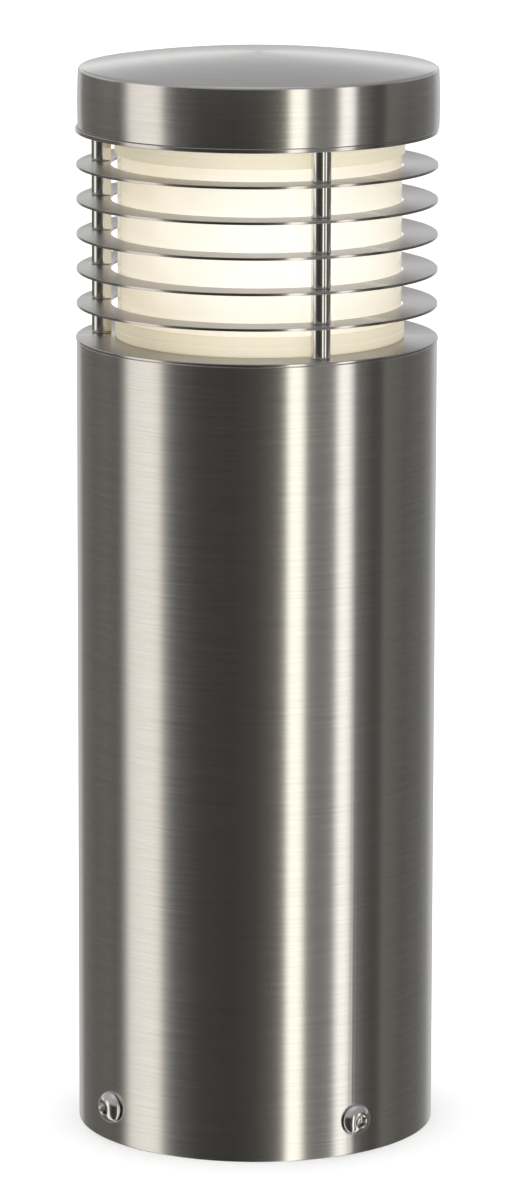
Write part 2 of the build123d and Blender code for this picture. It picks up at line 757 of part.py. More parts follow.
parts = {
    "base_plate": base_plate(),
    "cable_bushing": cable_bushing(),
    "tube": tube(),
    "body_plate": body_plate(),
    "lower_seal": seal(body_plate_top, 1),
    "upper_seal": seal(lid_plate_bottom, -1),
    "glass_cylinder": chamber_cylinder(glass_radius, glass_inner_radius),
    "diffuser_sleeve": chamber_cylinder(diffuser_radius, diffuser_inner_radius),
    "lower_rod_washers": rod_washers(tube_height - washer_thickness),
    "lower_rod_nuts": rod_nuts(tube_height - washer_thickness - nut_height),
    "upper_rod_washers": rod_washers(lid_plate_top),
    "upper_rod_nuts": rod_nuts(lid_plate_top + washer_thickness),
    "lid_plate": lid_plate(),
    "lid_clips": lid_clips(),
    "lid_clip_rivets": lid_clip_rivets(),
    "lid_shell": lid_shell(),
    "lid_gasket": lid_gasket(),
    "lamp_cap": lamp_cap(),
    "lamp_tip": lamp_tip(),
    "lamp_collar": lamp_collar(),
    "lamp_globe": lamp_globe(),
    "holder_barrel": holder_barrel(),
    "holder_shell": holder_shell(),
    "holder_cap": holder_cap(),
    "holder_core": holder_core(),
    "holder_contact": holder_contact(),
    "holder_terminals": holder_terminals(),
    "holder_nipple": holder_nipple(),
    "nipple_locknuts": nipple_locknuts(),
    "holder_bracket": holder_bracket(),
    "bracket_screws": bracket_screws(),
    "terminal_carrier": terminal_carrier(),
    "terminal_block": terminal_block(),
    "terminal_screws": terminal_screws(),
    "block_screws": block_screws(),
    "lead_live": mains_lead(-1),
    "lead_neutral": mains_lead(1),
    "lead_earth": lead_earth(),
    "earth_tag": earth_tag(),
    "earth_screw": earth_screw(),
}
for number in range(1, ring_count + 1):
    parts[f"louvre_ring_{number}"] = louvre_ring(number)
for number, azimuth in enumerate(rod_azimuths, start=1):
    parts[f"spacer_sleeves_{number}"] = spacer_sleeves(azimuth)
    parts[f"tie_rod_{number}"] = tie_rod(azimuth)
for number, azimuth in enumerate(side_screw_azimuths, start=1):
    parts[f"side_screw_{number}"] = side_screw(azimuth)
    parts[f"clamp_nut_{number}"] = clamp_nut(azimuth)

os.makedirs("parts", exist_ok=True)
for name, shape in parts.items():
    export_step(shape, f"parts/{name}.step")
print(len(parts), "nodes, overall height", round(lid_top, 2))
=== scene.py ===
# %% [markdown]
# # A bollard light, dressed piece by piece
#
# A short stainless light for a garden path. A brushed tube stands on the ground. Above it a lit glass
# cylinder stands behind five flat louvre rings on three rods, and a spun lid closes the top.
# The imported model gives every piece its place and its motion. This script gives each one its finish
# and its fine shape: eased edges, threads, sockets and grain.

import json
import math

import bmesh
import bpy
from mathutils import Matrix, Vector


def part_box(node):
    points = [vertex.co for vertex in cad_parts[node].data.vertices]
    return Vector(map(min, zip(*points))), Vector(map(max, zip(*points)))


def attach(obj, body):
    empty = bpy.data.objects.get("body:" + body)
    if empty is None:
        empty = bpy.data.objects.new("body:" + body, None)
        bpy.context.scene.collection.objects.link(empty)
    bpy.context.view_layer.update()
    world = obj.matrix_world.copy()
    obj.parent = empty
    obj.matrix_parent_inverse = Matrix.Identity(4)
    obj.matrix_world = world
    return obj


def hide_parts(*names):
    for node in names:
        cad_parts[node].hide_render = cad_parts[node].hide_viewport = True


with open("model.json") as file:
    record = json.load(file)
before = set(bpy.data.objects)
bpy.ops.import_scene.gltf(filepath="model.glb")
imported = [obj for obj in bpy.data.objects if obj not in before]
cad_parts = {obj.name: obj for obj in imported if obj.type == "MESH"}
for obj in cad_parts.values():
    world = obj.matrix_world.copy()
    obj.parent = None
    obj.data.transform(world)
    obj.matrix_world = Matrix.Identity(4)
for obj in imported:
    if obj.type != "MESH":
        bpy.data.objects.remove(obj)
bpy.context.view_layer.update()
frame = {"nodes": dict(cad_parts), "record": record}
nodes = frame["nodes"]

# %% [markdown]
# ## Sizes
#
# Blender works in metres, and a maker reads millimetres, so every outline below is in millimetres and is
# scaled once, when its points are made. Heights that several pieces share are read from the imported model.

# %% Shared sizes
MM = 0.001
SIDES = 192
FINE_SIDES = 256


def low_of(node):
    """Height of a node's underside, in millimetres."""
    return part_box(node)[0].z / MM


def high_of(node):
    """Height of a node's top, in millimetres."""
    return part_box(node)[1].z / MM


def span_of(node):
    """Heights of a node's underside and top."""
    return low_of(node), high_of(node)


louvre_pitch = 12.25
tube_radius = 63.5
tube_top = high_of("tube")
plate_top = high_of("body_plate")
lid_plate_low = low_of("louvre_ring_5") + louvre_pitch
lid_plate_high = low_of("lid_clips")
print("tube top", round(tube_top, 2), "plate top", round(plate_top, 2), "lid plate", round(lid_plate_low, 2),
      round(lid_plate_high, 2))

# %% [markdown]
# ## Turned shapes
#
# Nearly everything here is made on a lathe or a spinning machine. The same way works in mesh code: an
# outline of (radius, height) points is carried round an axis, and each pair of rings is joined by quads.
# A point may carry a form, a small function that bends its radius as the angle changes. That one idea
# gives hexagon nuts, key sockets and helical threads from the same few lines.

# %% The lathe
ON_AXIS = 1e-6


def spin(bm, outline, sides=SIDES, at=(0.0, 0.0), place=None):
    """Adds a closed turned shape to a mesh. Outline points are (radius, height) or (radius, height, form)."""
    place = place or Matrix.Identity(4)
    rings = []
    for point in outline:
        radius, height = point[0], point[1]
        form = point[2] if len(point) > 2 else None
        around = 1 if radius < ON_AXIS and form is None else sides
        ring = []
        for k in range(around):
            angle = 2 * math.pi * k / around
            r, h = form(radius, height, angle) if form else (radius, height)
            spot = Vector((at[0] + r * math.cos(angle), at[1] + r * math.sin(angle), h)) * MM
            ring.append(bm.verts.new(place @ spot))
        rings.append(ring)
    made = []
    for low, high in zip(rings, rings[1:] + rings[:1]):
        if len(low) == 1 and len(high) == 1:
            continue
        for k in range(sides):
            n = (k + 1) % sides
            if len(low) == 1:
                made.append(bm.faces.new((low[0], high[n], high[k])))
            elif len(high) == 1:
                made.append(bm.faces.new((low[k], low[n], high[0])))
            else:
                made.append(bm.faces.new((low[k], low[n], high[n], high[k])))
    bmesh.ops.recalc_face_normals(bm, faces=made)


def smooth(mesh, angle=32):
    """Smooth shading that still breaks at real corners."""
    mesh.shade_smooth()
    mesh.set_sharp_from_angle(angle=math.radians(angle))


def to_object(name, bm, angle=32):
    """Turns a finished bmesh into an object in the scene."""
    mesh = bpy.data.meshes.new(name)
    bm.to_mesh(mesh)
    bm.free()
    smooth(mesh, angle)
    piece = bpy.data.objects.new(name, mesh)
    bpy.context.scene.collection.objects.link(piece)
    return piece


def turned(name, outline, sides=SIDES, at=(0.0, 0.0), place=None):
    """One turned shape as an object."""
    bm = bmesh.new()
    spin(bm, outline, sides, at, place)
    return to_object(name, bm)


print("lathe ready, sides", SIDES)

# %% [markdown]
# A machined corner is never sharp: it is broken with a file or a tumbling drum, and that thin rounded line
# is what catches the light. The next helper rounds every corner of an outline, and sets a guard point
# beside each round so that the flat faces stay flat when they are smooth shaded.

# %% Eased corners and arcs
STRAIGHT = 3.1       # radians between two edges that run nearly straight on
EDGE_SHARE = 0.45    # the most of an edge that one corner's round may take
GUARD = 1.5          # how far past a round its guard point stands, in radii of the round
GUARD_ROOM = 2.5     # an edge gets a guard point only if it is this many times as long


def eased(corners, ease=0.2, steps=3):
    """A closed outline with its corners rounded. A corner's third number is its own radius."""
    out = []
    for i, corner in enumerate(corners):
        here = Vector(corner[:2])
        back = Vector(corners[i - 1][:2]) - here
        ahead = Vector(corners[(i + 1) % len(corners)][:2]) - here
        size = corner[2] if len(corner) > 2 else ease
        if size <= 0 or here.x < ON_AXIS or back.angle(ahead) > STRAIGHT:
            out.append(tuple(here))
            continue
        u, v = back.normalized(), ahead.normalized()
        half = u.angle(v) / 2
        reach = min(size / math.tan(half), back.length * EDGE_SHARE, ahead.length * EDGE_SHARE)
        size = reach * math.tan(half)
        centre = here + (u + v).normalized() * (size / math.sin(half))
        start, end = here + u * reach - centre, here + v * reach - centre
        sweep = start.angle(end)
        beside = reach + GUARD * size
        if back.length > GUARD_ROOM * beside:
            out.append(tuple(here + u * beside))
        for s in range(steps + 1):
            t = s / steps
            p = (start * math.sin((1 - t) * sweep) + end * math.sin(t * sweep)) / math.sin(sweep)
            out.append(tuple(centre + p))
        if ahead.length > GUARD_ROOM * beside:
            out.append(tuple(here + v * beside))
    return out


def band(inner, outer, low, high, ease=0.2, steps=3):
    """The outline of a plain ring, tube or disc, with its corners eased."""
    return eased([(inner, low), (outer, low), (outer, high), (inner, high)], ease, steps)


def arc(start, via, end, steps=12):
    """Points on the circle through three points."""
    (ax, ay), (bx, by), (cx, cy) = start, via, end
    d = 2 * (ax * (by - cy) + bx * (cy - ay) + cx * (ay - by))
    a2, b2, c2 = ax * ax + ay * ay, bx * bx + by * by, cx * cx + cy * cy
    ox = (a2 * (by - cy) + b2 * (cy - ay) + c2 * (ay - by)) / d
    oy = (a2 * (cx - bx) + b2 * (ax - cx) + c2 * (bx - ax)) / d
    first, last = math.atan2(ay - oy, ax - ox), math.atan2(cy - oy, cx - ox)
    last = first + (last - first + math.pi) % (2 * math.pi) - math.pi
    radius = math.hypot(ax - ox, ay - oy)
    angles = [first + (last - first) * s / steps for s in range(steps + 1)]
    return [(ox + radius * math.cos(a), oy + radius * math.sin(a)) for a in angles]


print("a plain ring, eased:", len(band(1, 2, 0, 1)), "points")

# %% [markdown]
# ## Forms for keys, nuts and threads
#
# A hexagon is a circle whose radius swells towards six corners. A thread is a circle whose radius rises
# and falls once a pitch, with the wave turned once round the bar for each pitch of height.

# %% Forms
CHAMFER_SLOPE = 0.55


def flats(count):
    """A form that makes a regular shape of so many flats; the radius is half across the flats."""
    step = 2 * math.pi / count

    def form(radius, height, angle):
        off = (angle + step / 2) % step - step / 2
        return radius / math.cos(off), height
    return form


def nut_side(count, chamfer):
    """Like flats, with the corners trimmed by a cone, as on a chamfered nut. Chamfer is +1 up or -1 down."""
    shape = flats(count)

    def form(radius, height, angle):
        r, h = shape(radius, height, angle)
        return r, h - chamfer * (r - radius) * CHAMFER_SLOPE
    return form


def thread(pitch, depth, low, high, rounded=False):
    """A form that cuts a helical thread between two heights, fading out at its ends."""
    def form(radius, height, angle):
        phase = (height / pitch - angle / (2 * math.pi)) % 1.0
        wave = 0.5 - 0.5 * math.cos(2 * math.pi * phase) if rounded else abs(2 * phase - 1)
        fade = max(0.0, min(1.0, (height - low) / pitch, (high - height) / pitch))
        return radius - depth * wave * fade, height
    return form


def thread_rows(radius, pitch, depth, low, high, rows=6, rounded=False):
    """Rows of outline points for a threaded length, from low to high."""
    cut = thread(pitch, depth, low, high, rounded)
    count = max(2, int((high - low) / pitch * rows))
    return [(radius, low + (high - low) * i / count, cut) for i in range(count + 1)]


def offset_form(shift):
    """A form that sets a circle off its axis along X."""
    def form(radius, height, angle):
        return shift * math.cos(angle) + math.sqrt(radius ** 2 - (shift * math.sin(angle)) ** 2), height
    return form


print("a 7 mm hexagon is", round(flats(6)(3.5, 0, math.pi / 6)[0] * 2, 2), "mm across its corners")

# %% [markdown]
# ## Drilled holes and softened copies
#
# Holes are cut with a boolean, the digital drill. Small bent or milled pieces already have their right
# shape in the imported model, so for those a copy is taken, its flat faces are merged, and its edges get a
# small bevel, as deburring does on the bench.

# %% Drill, place and soften
BIT_SIDES = 48
SAME_POINT = 2e-6                     # metres
FLAT_WITHIN = math.radians(0.8)
CORNER_FROM = math.radians(40)


def spot(azimuth, radius):
    """Plan position at an azimuth, 0 at the front and 90 towards +X."""
    a = math.radians(azimuth)
    return radius * math.sin(a), -radius * math.cos(a)


def outward(azimuth, height):
    """A placement whose own Z points out of the tube at an azimuth, at a height."""
    a = math.radians(azimuth)
    out, up = Vector((math.sin(a), -math.cos(a), 0)), Vector((0, 0, 1))
    side = up.cross(out)
    turn = Matrix((side, up, out)).transposed().to_4x4()
    return Matrix.Translation((0, 0, height * MM)) @ turn


def applied(piece):
    """Makes a piece's modifiers part of its mesh."""
    graph = bpy.context.evaluated_depsgraph_get()
    mesh = bpy.data.meshes.new_from_object(piece.evaluated_get(graph))
    piece.modifiers.clear()
    piece.data = mesh
    smooth(mesh)


def drill(piece, holes):
    """Cuts round holes, each (radius, low, high, x, y) upright or with a placement as its sixth item."""
    bm = bmesh.new()
    for hole in holes:
        radius, low, high, x, y = hole[:5]
        spin(bm, [(0, low), (radius, low), (radius, high), (0, high)], BIT_SIDES, (x, y),
             hole[5] if len(hole) > 5 else None)
    bit = to_object("drill_bit", bm)
    cut = piece.modifiers.new("drill", "BOOLEAN")
    cut.operation, cut.solver, cut.object = "DIFFERENCE", "EXACT", bit
    applied(piece)
    bpy.data.objects.remove(bit)


def through(radius, low, high, spots, past=1.0):
    """Upright holes at plan positions, cut from a little under a plate to a little over it."""
    return [(radius, low - past, high + past, x, y) for x, y in spots]


def softened(node, width=0.2, segments=2):
    """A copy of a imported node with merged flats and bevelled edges."""
    bm = bmesh.new()
    bm.from_mesh(nodes[node].data)
    bmesh.ops.remove_doubles(bm, verts=bm.verts, dist=SAME_POINT)
    bmesh.ops.dissolve_limit(bm, angle_limit=FLAT_WITHIN, verts=bm.verts, edges=bm.edges)
    piece = to_object(f"{node}_fine", bm)
    bevel = piece.modifiers.new("deburr", "BEVEL")
    bevel.width, bevel.segments, bevel.limit_method = width * MM, segments, "ANGLE"
    bevel.angle_limit = CORNER_FROM
    applied(piece)
    return piece


print("front of the tube is at", [round(v, 2) for v in spot(0, tube_radius)])

# %% [markdown]
# ## Shader groups
#
# Every effect that several finishes share is a node group. Each has plain inputs, and gives out only
# masks and heights that vary over the surface, so a material can mix them into its colour, roughness
# and bump. The patterns read object coordinates, which are millimetre-true and need no unwrapping.

# %% Node helpers


def add(tree, kind, values=None, **settings):
    """Adds a node, sets its properties and its unlinked inputs."""
    node = tree.nodes.new(kind)
    for name, value in settings.items():
        setattr(node, name, value)
    for name, value in (values or {}).items():
        node.inputs[name].default_value = value
    return node


def math_node(tree, operation, a, b=None, clamp=False):
    """A Math node; a and b are numbers or output sockets."""
    node = add(tree, "ShaderNodeMath", operation=operation, use_clamp=clamp)
    for i, value in enumerate((a, b)):
        if isinstance(value, bpy.types.NodeSocket):
            tree.links.new(value, node.inputs[i])
        elif value is not None:
            node.inputs[i].default_value = value
    return node.outputs[0]


def remap(tree, value, low, high, curve="SMOOTHSTEP"):
    """Maps a value's span to 0 to 1, held at the ends."""
    node = add(tree, "ShaderNodeMapRange", {"From Min": low, "From Max": high}, interpolation_type=curve)
    tree.links.new(value, node.inputs["Value"])
    return node.outputs["Result"]


def group(name, takes, gives):
    """An empty shader node group with named inputs and outputs."""
    tree = bpy.data.node_groups.new(name, "ShaderNodeTree")
    for label, kind, value in takes:
        tree.interface.new_socket(label, in_out="INPUT", socket_type=kind).default_value = value
    for label, kind in gives:
        tree.interface.new_socket(label, in_out="OUTPUT", socket_type=kind)
    return tree, add(tree, "NodeGroupInput"), add(tree, "NodeGroupOutput")


NUMBER = "NodeSocketFloat"
print("node helpers ready")

# %% [markdown]
# **Brush grain.** A belt or a pad leaves fine lines. On the tube they run level round it, and on the lid's
# top they run in circles round its middle. So the pattern is noise that changes fast along one measure and
# slowly along the others: height on upright faces, radius on level ones. Stretching noise has no seam.
# The group also gives out which faces are level, because those are brushed by another tool.

# %% Group: brush grain
grain_group, takes, gives = group(
    "brush_grain", [("Lines per Metre", NUMBER, 3500.0), ("Drift", NUMBER, 60.0), ("Seed", NUMBER, 0.0)],
    [("Lines", NUMBER), ("Bands", NUMBER), ("Level", NUMBER)])
t = grain_group
where = add(t, "ShaderNodeTexCoord")
axes = add(t, "ShaderNodeSeparateXYZ")
t.links.new(where.outputs["Object"], axes.inputs[0])
squares = [math_node(t, "MULTIPLY", axes.outputs[i], axes.outputs[i]) for i in range(2)]
flat_radius = math_node(t, "POWER", math_node(t, "ADD", *squares), 0.5)
facing = add(t, "ShaderNodeSeparateXYZ")
t.links.new(where.outputs["Normal"], facing.inputs[0])
level_face = remap(t, math_node(t, "ABSOLUTE", facing.outputs[2]), 0.6, 0.8)
across = add(t, "ShaderNodeMix", data_type="FLOAT")
t.links.new(level_face, across.inputs[0])
t.links.new(level_face, gives.inputs["Level"])
t.links.new(axes.outputs[2], across.inputs[2])
t.links.new(flat_radius, across.inputs[3])
for output, share, detail in (("Lines", 1.0, 3.0), ("Bands", 0.2, 2.0)):
    stretched = add(t, "ShaderNodeCombineXYZ")
    for i in range(2):
        t.links.new(math_node(t, "MULTIPLY", axes.outputs[i], takes.outputs["Drift"]), stretched.inputs[i])
    quick = math_node(t, "MULTIPLY", takes.outputs["Lines per Metre"], share)
    fast = math_node(t, "MULTIPLY", across.outputs[0], quick)
    t.links.new(math_node(t, "ADD", fast, takes.outputs["Seed"]), stretched.inputs[2])
    noise = add(t, "ShaderNodeTexNoise", {"Scale": 1.0, "Detail": detail, "Roughness": 0.6})
    t.links.new(stretched.outputs[0], noise.inputs["Vector"])
    t.links.new(remap(t, noise.outputs["Fac"], 0.3, 0.7, "LINEAR"), gives.inputs[output])
print("group", grain_group.name)

# %% [markdown]
# ** Edge polish.** Tumbling and cloths rub the corners first. The geometry's pointiness is over one half on
# convex corners, so a narrow span of it makes a mask, broken up with a little noise. The metals use the mask
# for smoother corners and for a painted highlight in their colour.
# convex corners, so a narrow span of it makes a mask, broken up with a little noise.

# %% Group: edge polish
edge_group, takes, gives = group("edge_polish", [("Reach", NUMBER, 0.06), ("Break Up", NUMBER, 0.35)],
                                 [("Edges", NUMBER)])
t = edge_group
shape = add(t, "ShaderNodeNewGeometry")
where = add(t, "ShaderNodeTexCoord")
noise = add(t, "ShaderNodeTexNoise", {"Scale": 900.0, "Detail": 2.0})
t.links.new(where.outputs["Object"], noise.inputs["Vector"])
raised = math_node(t, "SUBTRACT", shape.outputs["Pointiness"], 0.5)
sharp = math_node(t, "DIVIDE", raised, takes.outputs["Reach"], True)
gaps = math_node(t, "MULTIPLY", noise.outputs["Fac"], takes.outputs["Break Up"])
worn = math_node(t, "MULTIPLY", sharp, math_node(t, "SUBTRACT", 1.0, gaps), True)
t.links.new(worn, gives.inputs["Edges"])
print("group", edge_group.name)

# %% [markdown]
# **Handling.** Large soft patches where a surface was wiped or touched, and specks of settled dust on
# faces that look up. Both stay faint, because the light is new and clean.

# %% Group: handling and dust
touch_group, takes, gives = group("handling", [("Patch Scale", NUMBER, 38.0), ("Seed", NUMBER, 0.0)],
                                  [("Smudges", NUMBER), ("Dust", NUMBER)])
t = touch_group
where = add(t, "ShaderNodeTexCoord")
moved = add(t, "ShaderNodeVectorMath", operation="ADD")
t.links.new(where.outputs["Object"], moved.inputs[0])
t.links.new(takes.outputs["Seed"], moved.inputs[1])
patches = add(t, "ShaderNodeTexNoise", {"Detail": 4.0, "Roughness": 0.55, "Distortion": 0.6})
t.links.new(moved.outputs[0], patches.inputs["Vector"])
t.links.new(takes.outputs["Patch Scale"], patches.inputs["Scale"])
t.links.new(remap(t, patches.outputs["Fac"], 0.42, 0.68), gives.inputs["Smudges"])
specks = add(t, "ShaderNodeTexNoise", {"Scale": 1400.0, "Detail": 2.0, "Roughness": 0.7})
t.links.new(moved.outputs[0], specks.inputs["Vector"])
shape = add(t, "ShaderNodeNewGeometry")
facing = add(t, "ShaderNodeSeparateXYZ")
t.links.new(shape.outputs["Normal"], facing.inputs[0])
upward = remap(t, facing.outputs[2], 0.55, 0.95)
settled = math_node(t, "MULTIPLY", remap(t, specks.outputs["Fac"], 0.55, 0.75), upward)
t.links.new(settled, gives.inputs["Dust"])
print("group", touch_group.name)

# %% [markdown]
# **Fine skin.** Cast, moulded, frosted and plated surfaces all have a small random relief: orange peel on
# plating, a dull bloom on silicone, a sparkle of crystals on zinc. One noise and one cell pattern give
# the height and the spangle.

# %% Group: fine skin
skin_group, takes, gives = group(
    "fine_skin", [("Grain per Metre", NUMBER, 2500.0), ("Spangle Scale", NUMBER, 220.0)],
    [("Height", NUMBER), ("Spangle", NUMBER)])
t = skin_group
where = add(t, "ShaderNodeTexCoord")
fine = add(t, "ShaderNodeTexNoise", {"Detail": 4.0, "Roughness": 0.6})
t.links.new(where.outputs["Object"], fine.inputs["Vector"])
t.links.new(takes.outputs["Grain per Metre"], fine.inputs["Scale"])
t.links.new(fine.outputs["Fac"], gives.inputs["Height"])
cells = add(t, "ShaderNodeTexVoronoi", feature="F1")
t.links.new(where.outputs["Object"], cells.inputs["Vector"])
t.links.new(takes.outputs["Spangle Scale"], cells.inputs["Scale"])
tint = add(t, "ShaderNodeSeparateColor")
t.links.new(cells.outputs["Color"], tint.inputs[0])
t.links.new(tint.outputs[0], gives.inputs["Spangle"])
print("group", skin_group.name)

# %% [markdown]
# ## Finishes
#
# Steel is a metal, so its Principled shader has Metallic 1 and its colour is the tint of what it
# reflects. Brushing spreads a reflection across the lines and keeps it crisp along them, which the
# anisotropy controls do. The colour, roughness and bump all take a little from the groups.

# %% Build a finish
finish = {}
dust_colour = (0.55, 0.53, 0.50)


def new_material(name):
    """Adds a material to the finishes, and gives its tree and its Principled shader."""
    material = bpy.data.materials.new(name)
    material.use_nodes = True
    finish[name] = material
    tree = material.node_tree
    tree.nodes.clear()
    output = add(tree, "ShaderNodeOutputMaterial")
    shader = add(tree, "ShaderNodeBsdfPrincipled")
    tree.links.new(shader.outputs[0], output.inputs["Surface"])
    return tree, shader


def use(tree, which, **values):
    """Places a shader group and sets its inputs; underscores in names stand for spaces."""
    node = add(tree, "ShaderNodeGroup", node_tree=which)
    for name, value in values.items():
        node.inputs[name.replace("_", " ")].default_value = value
    return node


def scaled(colour, factor, extra=0.0):
    """A colour made darker or lighter, held at white."""
    return tuple(min(1.0, c * factor + extra) for c in colour)


def tinted(tree, factor, first, second):
    """A colour mixed between two by a mask; each is a colour or an output socket."""
    node = add(tree, "ShaderNodeMix", data_type="RGBA")
    tree.links.new(factor, node.inputs[0])
    for i, colour in ((6, first), (7, second)):
        if isinstance(colour, bpy.types.NodeSocket):
            tree.links.new(colour, node.inputs[i])
        else:
            node.inputs[i].default_value = (*colour, 1.0)
    return node.outputs[2]


def total(tree, *terms):
    """The sum of (socket, weight) pairs and plain numbers."""
    result = None
    for term in terms:
        part = math_node(tree, "MULTIPLY", *term) if isinstance(term, tuple) else term
        result = part if result is None else math_node(tree, "ADD", result, part)
    return result


def bumped(tree, shader, height, distance, strength=1.0):
    """Feeds a height through a Bump node to the shader's normal; distance is in millimetres."""
    bump = add(tree, "ShaderNodeBump", {"Strength": strength, "Distance": distance * MM})
    tree.links.new(height, bump.inputs["Height"])
    tree.links.new(bump.outputs[0], shader.inputs["Normal"])


print("finish helpers ready")

# %% [markdown]
# Each metal takes its own share of every group. The brush lines swing its colour a little, dust and
# smudges dull it, and its corners are smoother and carry a painted highlight: a brighter colour that stands
# in for the glints on their polished rounds. Level faces have their own roughness, and a
# tangent that runs round the upright axis tells the shader which way the lines go.

# %% Build a metal
line_share, band_share = 0.8, 0.2     # of the fine lines and the wide bands in the colour
darker, lighter = 0.55, 0.45          # how far the colour swings for a full-strength pattern
# Painted highlight: a metal's corners get a brighter colour that stands in for glints; they are also
# smoother.
corner_painted_highlight, corner_polish = 1.35, 0.25    # corners are so much brighter, and smoother by this share
dust_cover, dust_dull = 0.05, 0.08    # how much dust hides the colour, and how much it roughens


def steel(name, colour, roughness, grain=0.0, lines=3500.0, drift=60.0, stretch=0.0, turn=0.0,
          relief=0.004, peel=0.0, smudge=0.04, edge=0.12, spangle=0.0, level=0.0, seed=0.0):
    """A metal finish: grain is the strength of the brush lines, level the extra roughness of level faces."""
    tree, shader = new_material(name)
    shader.distribution = "GGX"
    shader.inputs["Metallic"].default_value = 1.0
    shader.inputs["Anisotropic"].default_value = stretch
    shader.inputs["Anisotropic Rotation"].default_value = turn
    if stretch:
        tangent = add(tree, "ShaderNodeTangent", direction_type="RADIAL", axis="Z")
        tree.links.new(tangent.outputs[0], shader.inputs["Tangent"])
    brush = use(tree, grain_group, Lines_per_Metre=lines, Drift=drift, Seed=seed)
    edges = use(tree, edge_group)
    touch = use(tree, touch_group, Seed=seed)
    skin = use(tree, skin_group)
    pattern = total(tree, (brush.outputs["Lines"], line_share * grain),
                    (brush.outputs["Bands"], band_share * grain), (skin.outputs["Spangle"], spangle))
    contrast = grain + spangle
    base = tinted(tree, math_node(tree, "DIVIDE", pattern, contrast),
                  scaled(colour, 1 - darker * contrast), scaled(colour, 1 + lighter * contrast))
    # Painted highlight on the corners, mixed into the colour.
    base = tinted(tree, math_node(tree, "MULTIPLY", edges.outputs["Edges"], edge), base,
                  scaled(colour, corner_painted_highlight))
    base = tinted(tree, math_node(tree, "MULTIPLY", touch.outputs["Dust"], dust_cover), base, dust_colour)
    tree.links.new(base, shader.inputs["Base Color"])
    rough = total(tree, (touch.outputs["Smudges"], smudge), (brush.outputs["Lines"], 0.12 * grain),
                  (brush.outputs["Level"], level), (edges.outputs["Edges"], -corner_polish * roughness),
                  (touch.outputs["Dust"], dust_dull), roughness)
    tree.links.new(rough, shader.inputs["Roughness"])
    height = total(tree, (brush.outputs["Lines"], grain), (skin.outputs["Height"], peel))
    bumped(tree, shader, height, relief)


print("steel finish ready")

# %% [markdown]
# The tube and the lid are brushed, with level lines round their sides and circles on the lid's top. The
# rings and the plates are satin, and the spacer sleeves and side screws are polished. Fasteners inside are
# plain, the base plate and brackets are zinc-coated, and the clips are dark spring steel. The lamp's cap
# and the shell that it screws into are nickelled brass, and the contacts and terminals are plain brass.

# %% Metals
steel("brushed_steel", (0.66, 0.65, 0.63), 0.21, grain=0.14, lines=1700.0, drift=45.0, stretch=0.9, turn=0.25,
      relief=0.003, smudge=0.0, level=-0.09)
steel("satin_steel", (0.57, 0.555, 0.545), 0.17, grain=0.14, lines=3200.0, drift=90.0, stretch=0.85,
      turn=0.25, relief=0.003, smudge=0.02, edge=0.35, level=0.12, seed=3.0)
steel("polished_steel", (0.72, 0.71, 0.69), 0.10, grain=0.06, lines=5000.0, relief=0.001, smudge=0.05,
      edge=0.1, seed=5.0)
steel("plain_steel", (0.58, 0.58, 0.58), 0.26, grain=0.12, peel=0.2, edge=0.3, seed=7.0)
steel("spring_steel", (0.42, 0.42, 0.44), 0.32, grain=0.2, lines=1800.0, edge=0.4, seed=9.0)
steel("galvanised_steel", (0.55, 0.57, 0.60), 0.38, grain=0.03, spangle=0.28, peel=0.6, relief=0.02,
      smudge=0.14, edge=0.3, seed=11.0)
steel("nickelled_brass", (0.66, 0.62, 0.54), 0.2, grain=0.08, lines=3000.0, peel=0.4, relief=0.003, edge=0.2,
      seed=13.0)
steel("brass", (0.72, 0.53, 0.25), 0.28, grain=0.1, lines=3000.0, peel=0.3, edge=0.3, seed=15.0)
print(len(finish), "metal finishes")

# %% [markdown]
# Plastics, rubber and ceramic are not metals: their colour is their own, and a clear reflection lies on
# top. A matte rubber has a high roughness, a glazed ceramic a low one. A little of the fine skin in the
# colour keeps them from looking like paint.

# %% Plastics, rubber and ceramic
corner_wear = 0.3
moulded_dust = 0.12
skin_rough = 0.1    # the skin swings the roughness by half of this, up and down


def moulded(name, colour, roughness, relief=0.01, grains=2500.0, coat=0.0, smudge=0.08, vary=0.12,
            sheen=0.0, seed=0.0):
    """A moulded or glazed finish with a fine skin."""
    tree, shader = new_material(name)
    shader.inputs["Coat Weight"].default_value = coat
    shader.inputs["Coat Roughness"].default_value = 0.12
    shader.inputs["Sheen Weight"].default_value = sheen
    skin = use(tree, skin_group, Grain_per_Metre=grains)
    edges = use(tree, edge_group)
    touch = use(tree, touch_group, Seed=seed)
    base = tinted(tree, skin.outputs["Height"], scaled(colour, 1 - vary), scaled(colour, 1 + vary))
    base = tinted(tree, math_node(tree, "MULTIPLY", edges.outputs["Edges"], corner_wear), base,
                  scaled(colour, 1.25, 0.02))
    base = tinted(tree, math_node(tree, "MULTIPLY", touch.outputs["Dust"], moulded_dust), base, dust_colour)
    tree.links.new(base, shader.inputs["Base Color"])
    rough = total(tree, (touch.outputs["Smudges"], smudge), (skin.outputs["Height"], skin_rough),
                  roughness - skin_rough / 2)
    tree.links.new(rough, shader.inputs["Roughness"])
    bumped(tree, shader, skin.outputs["Height"], relief)


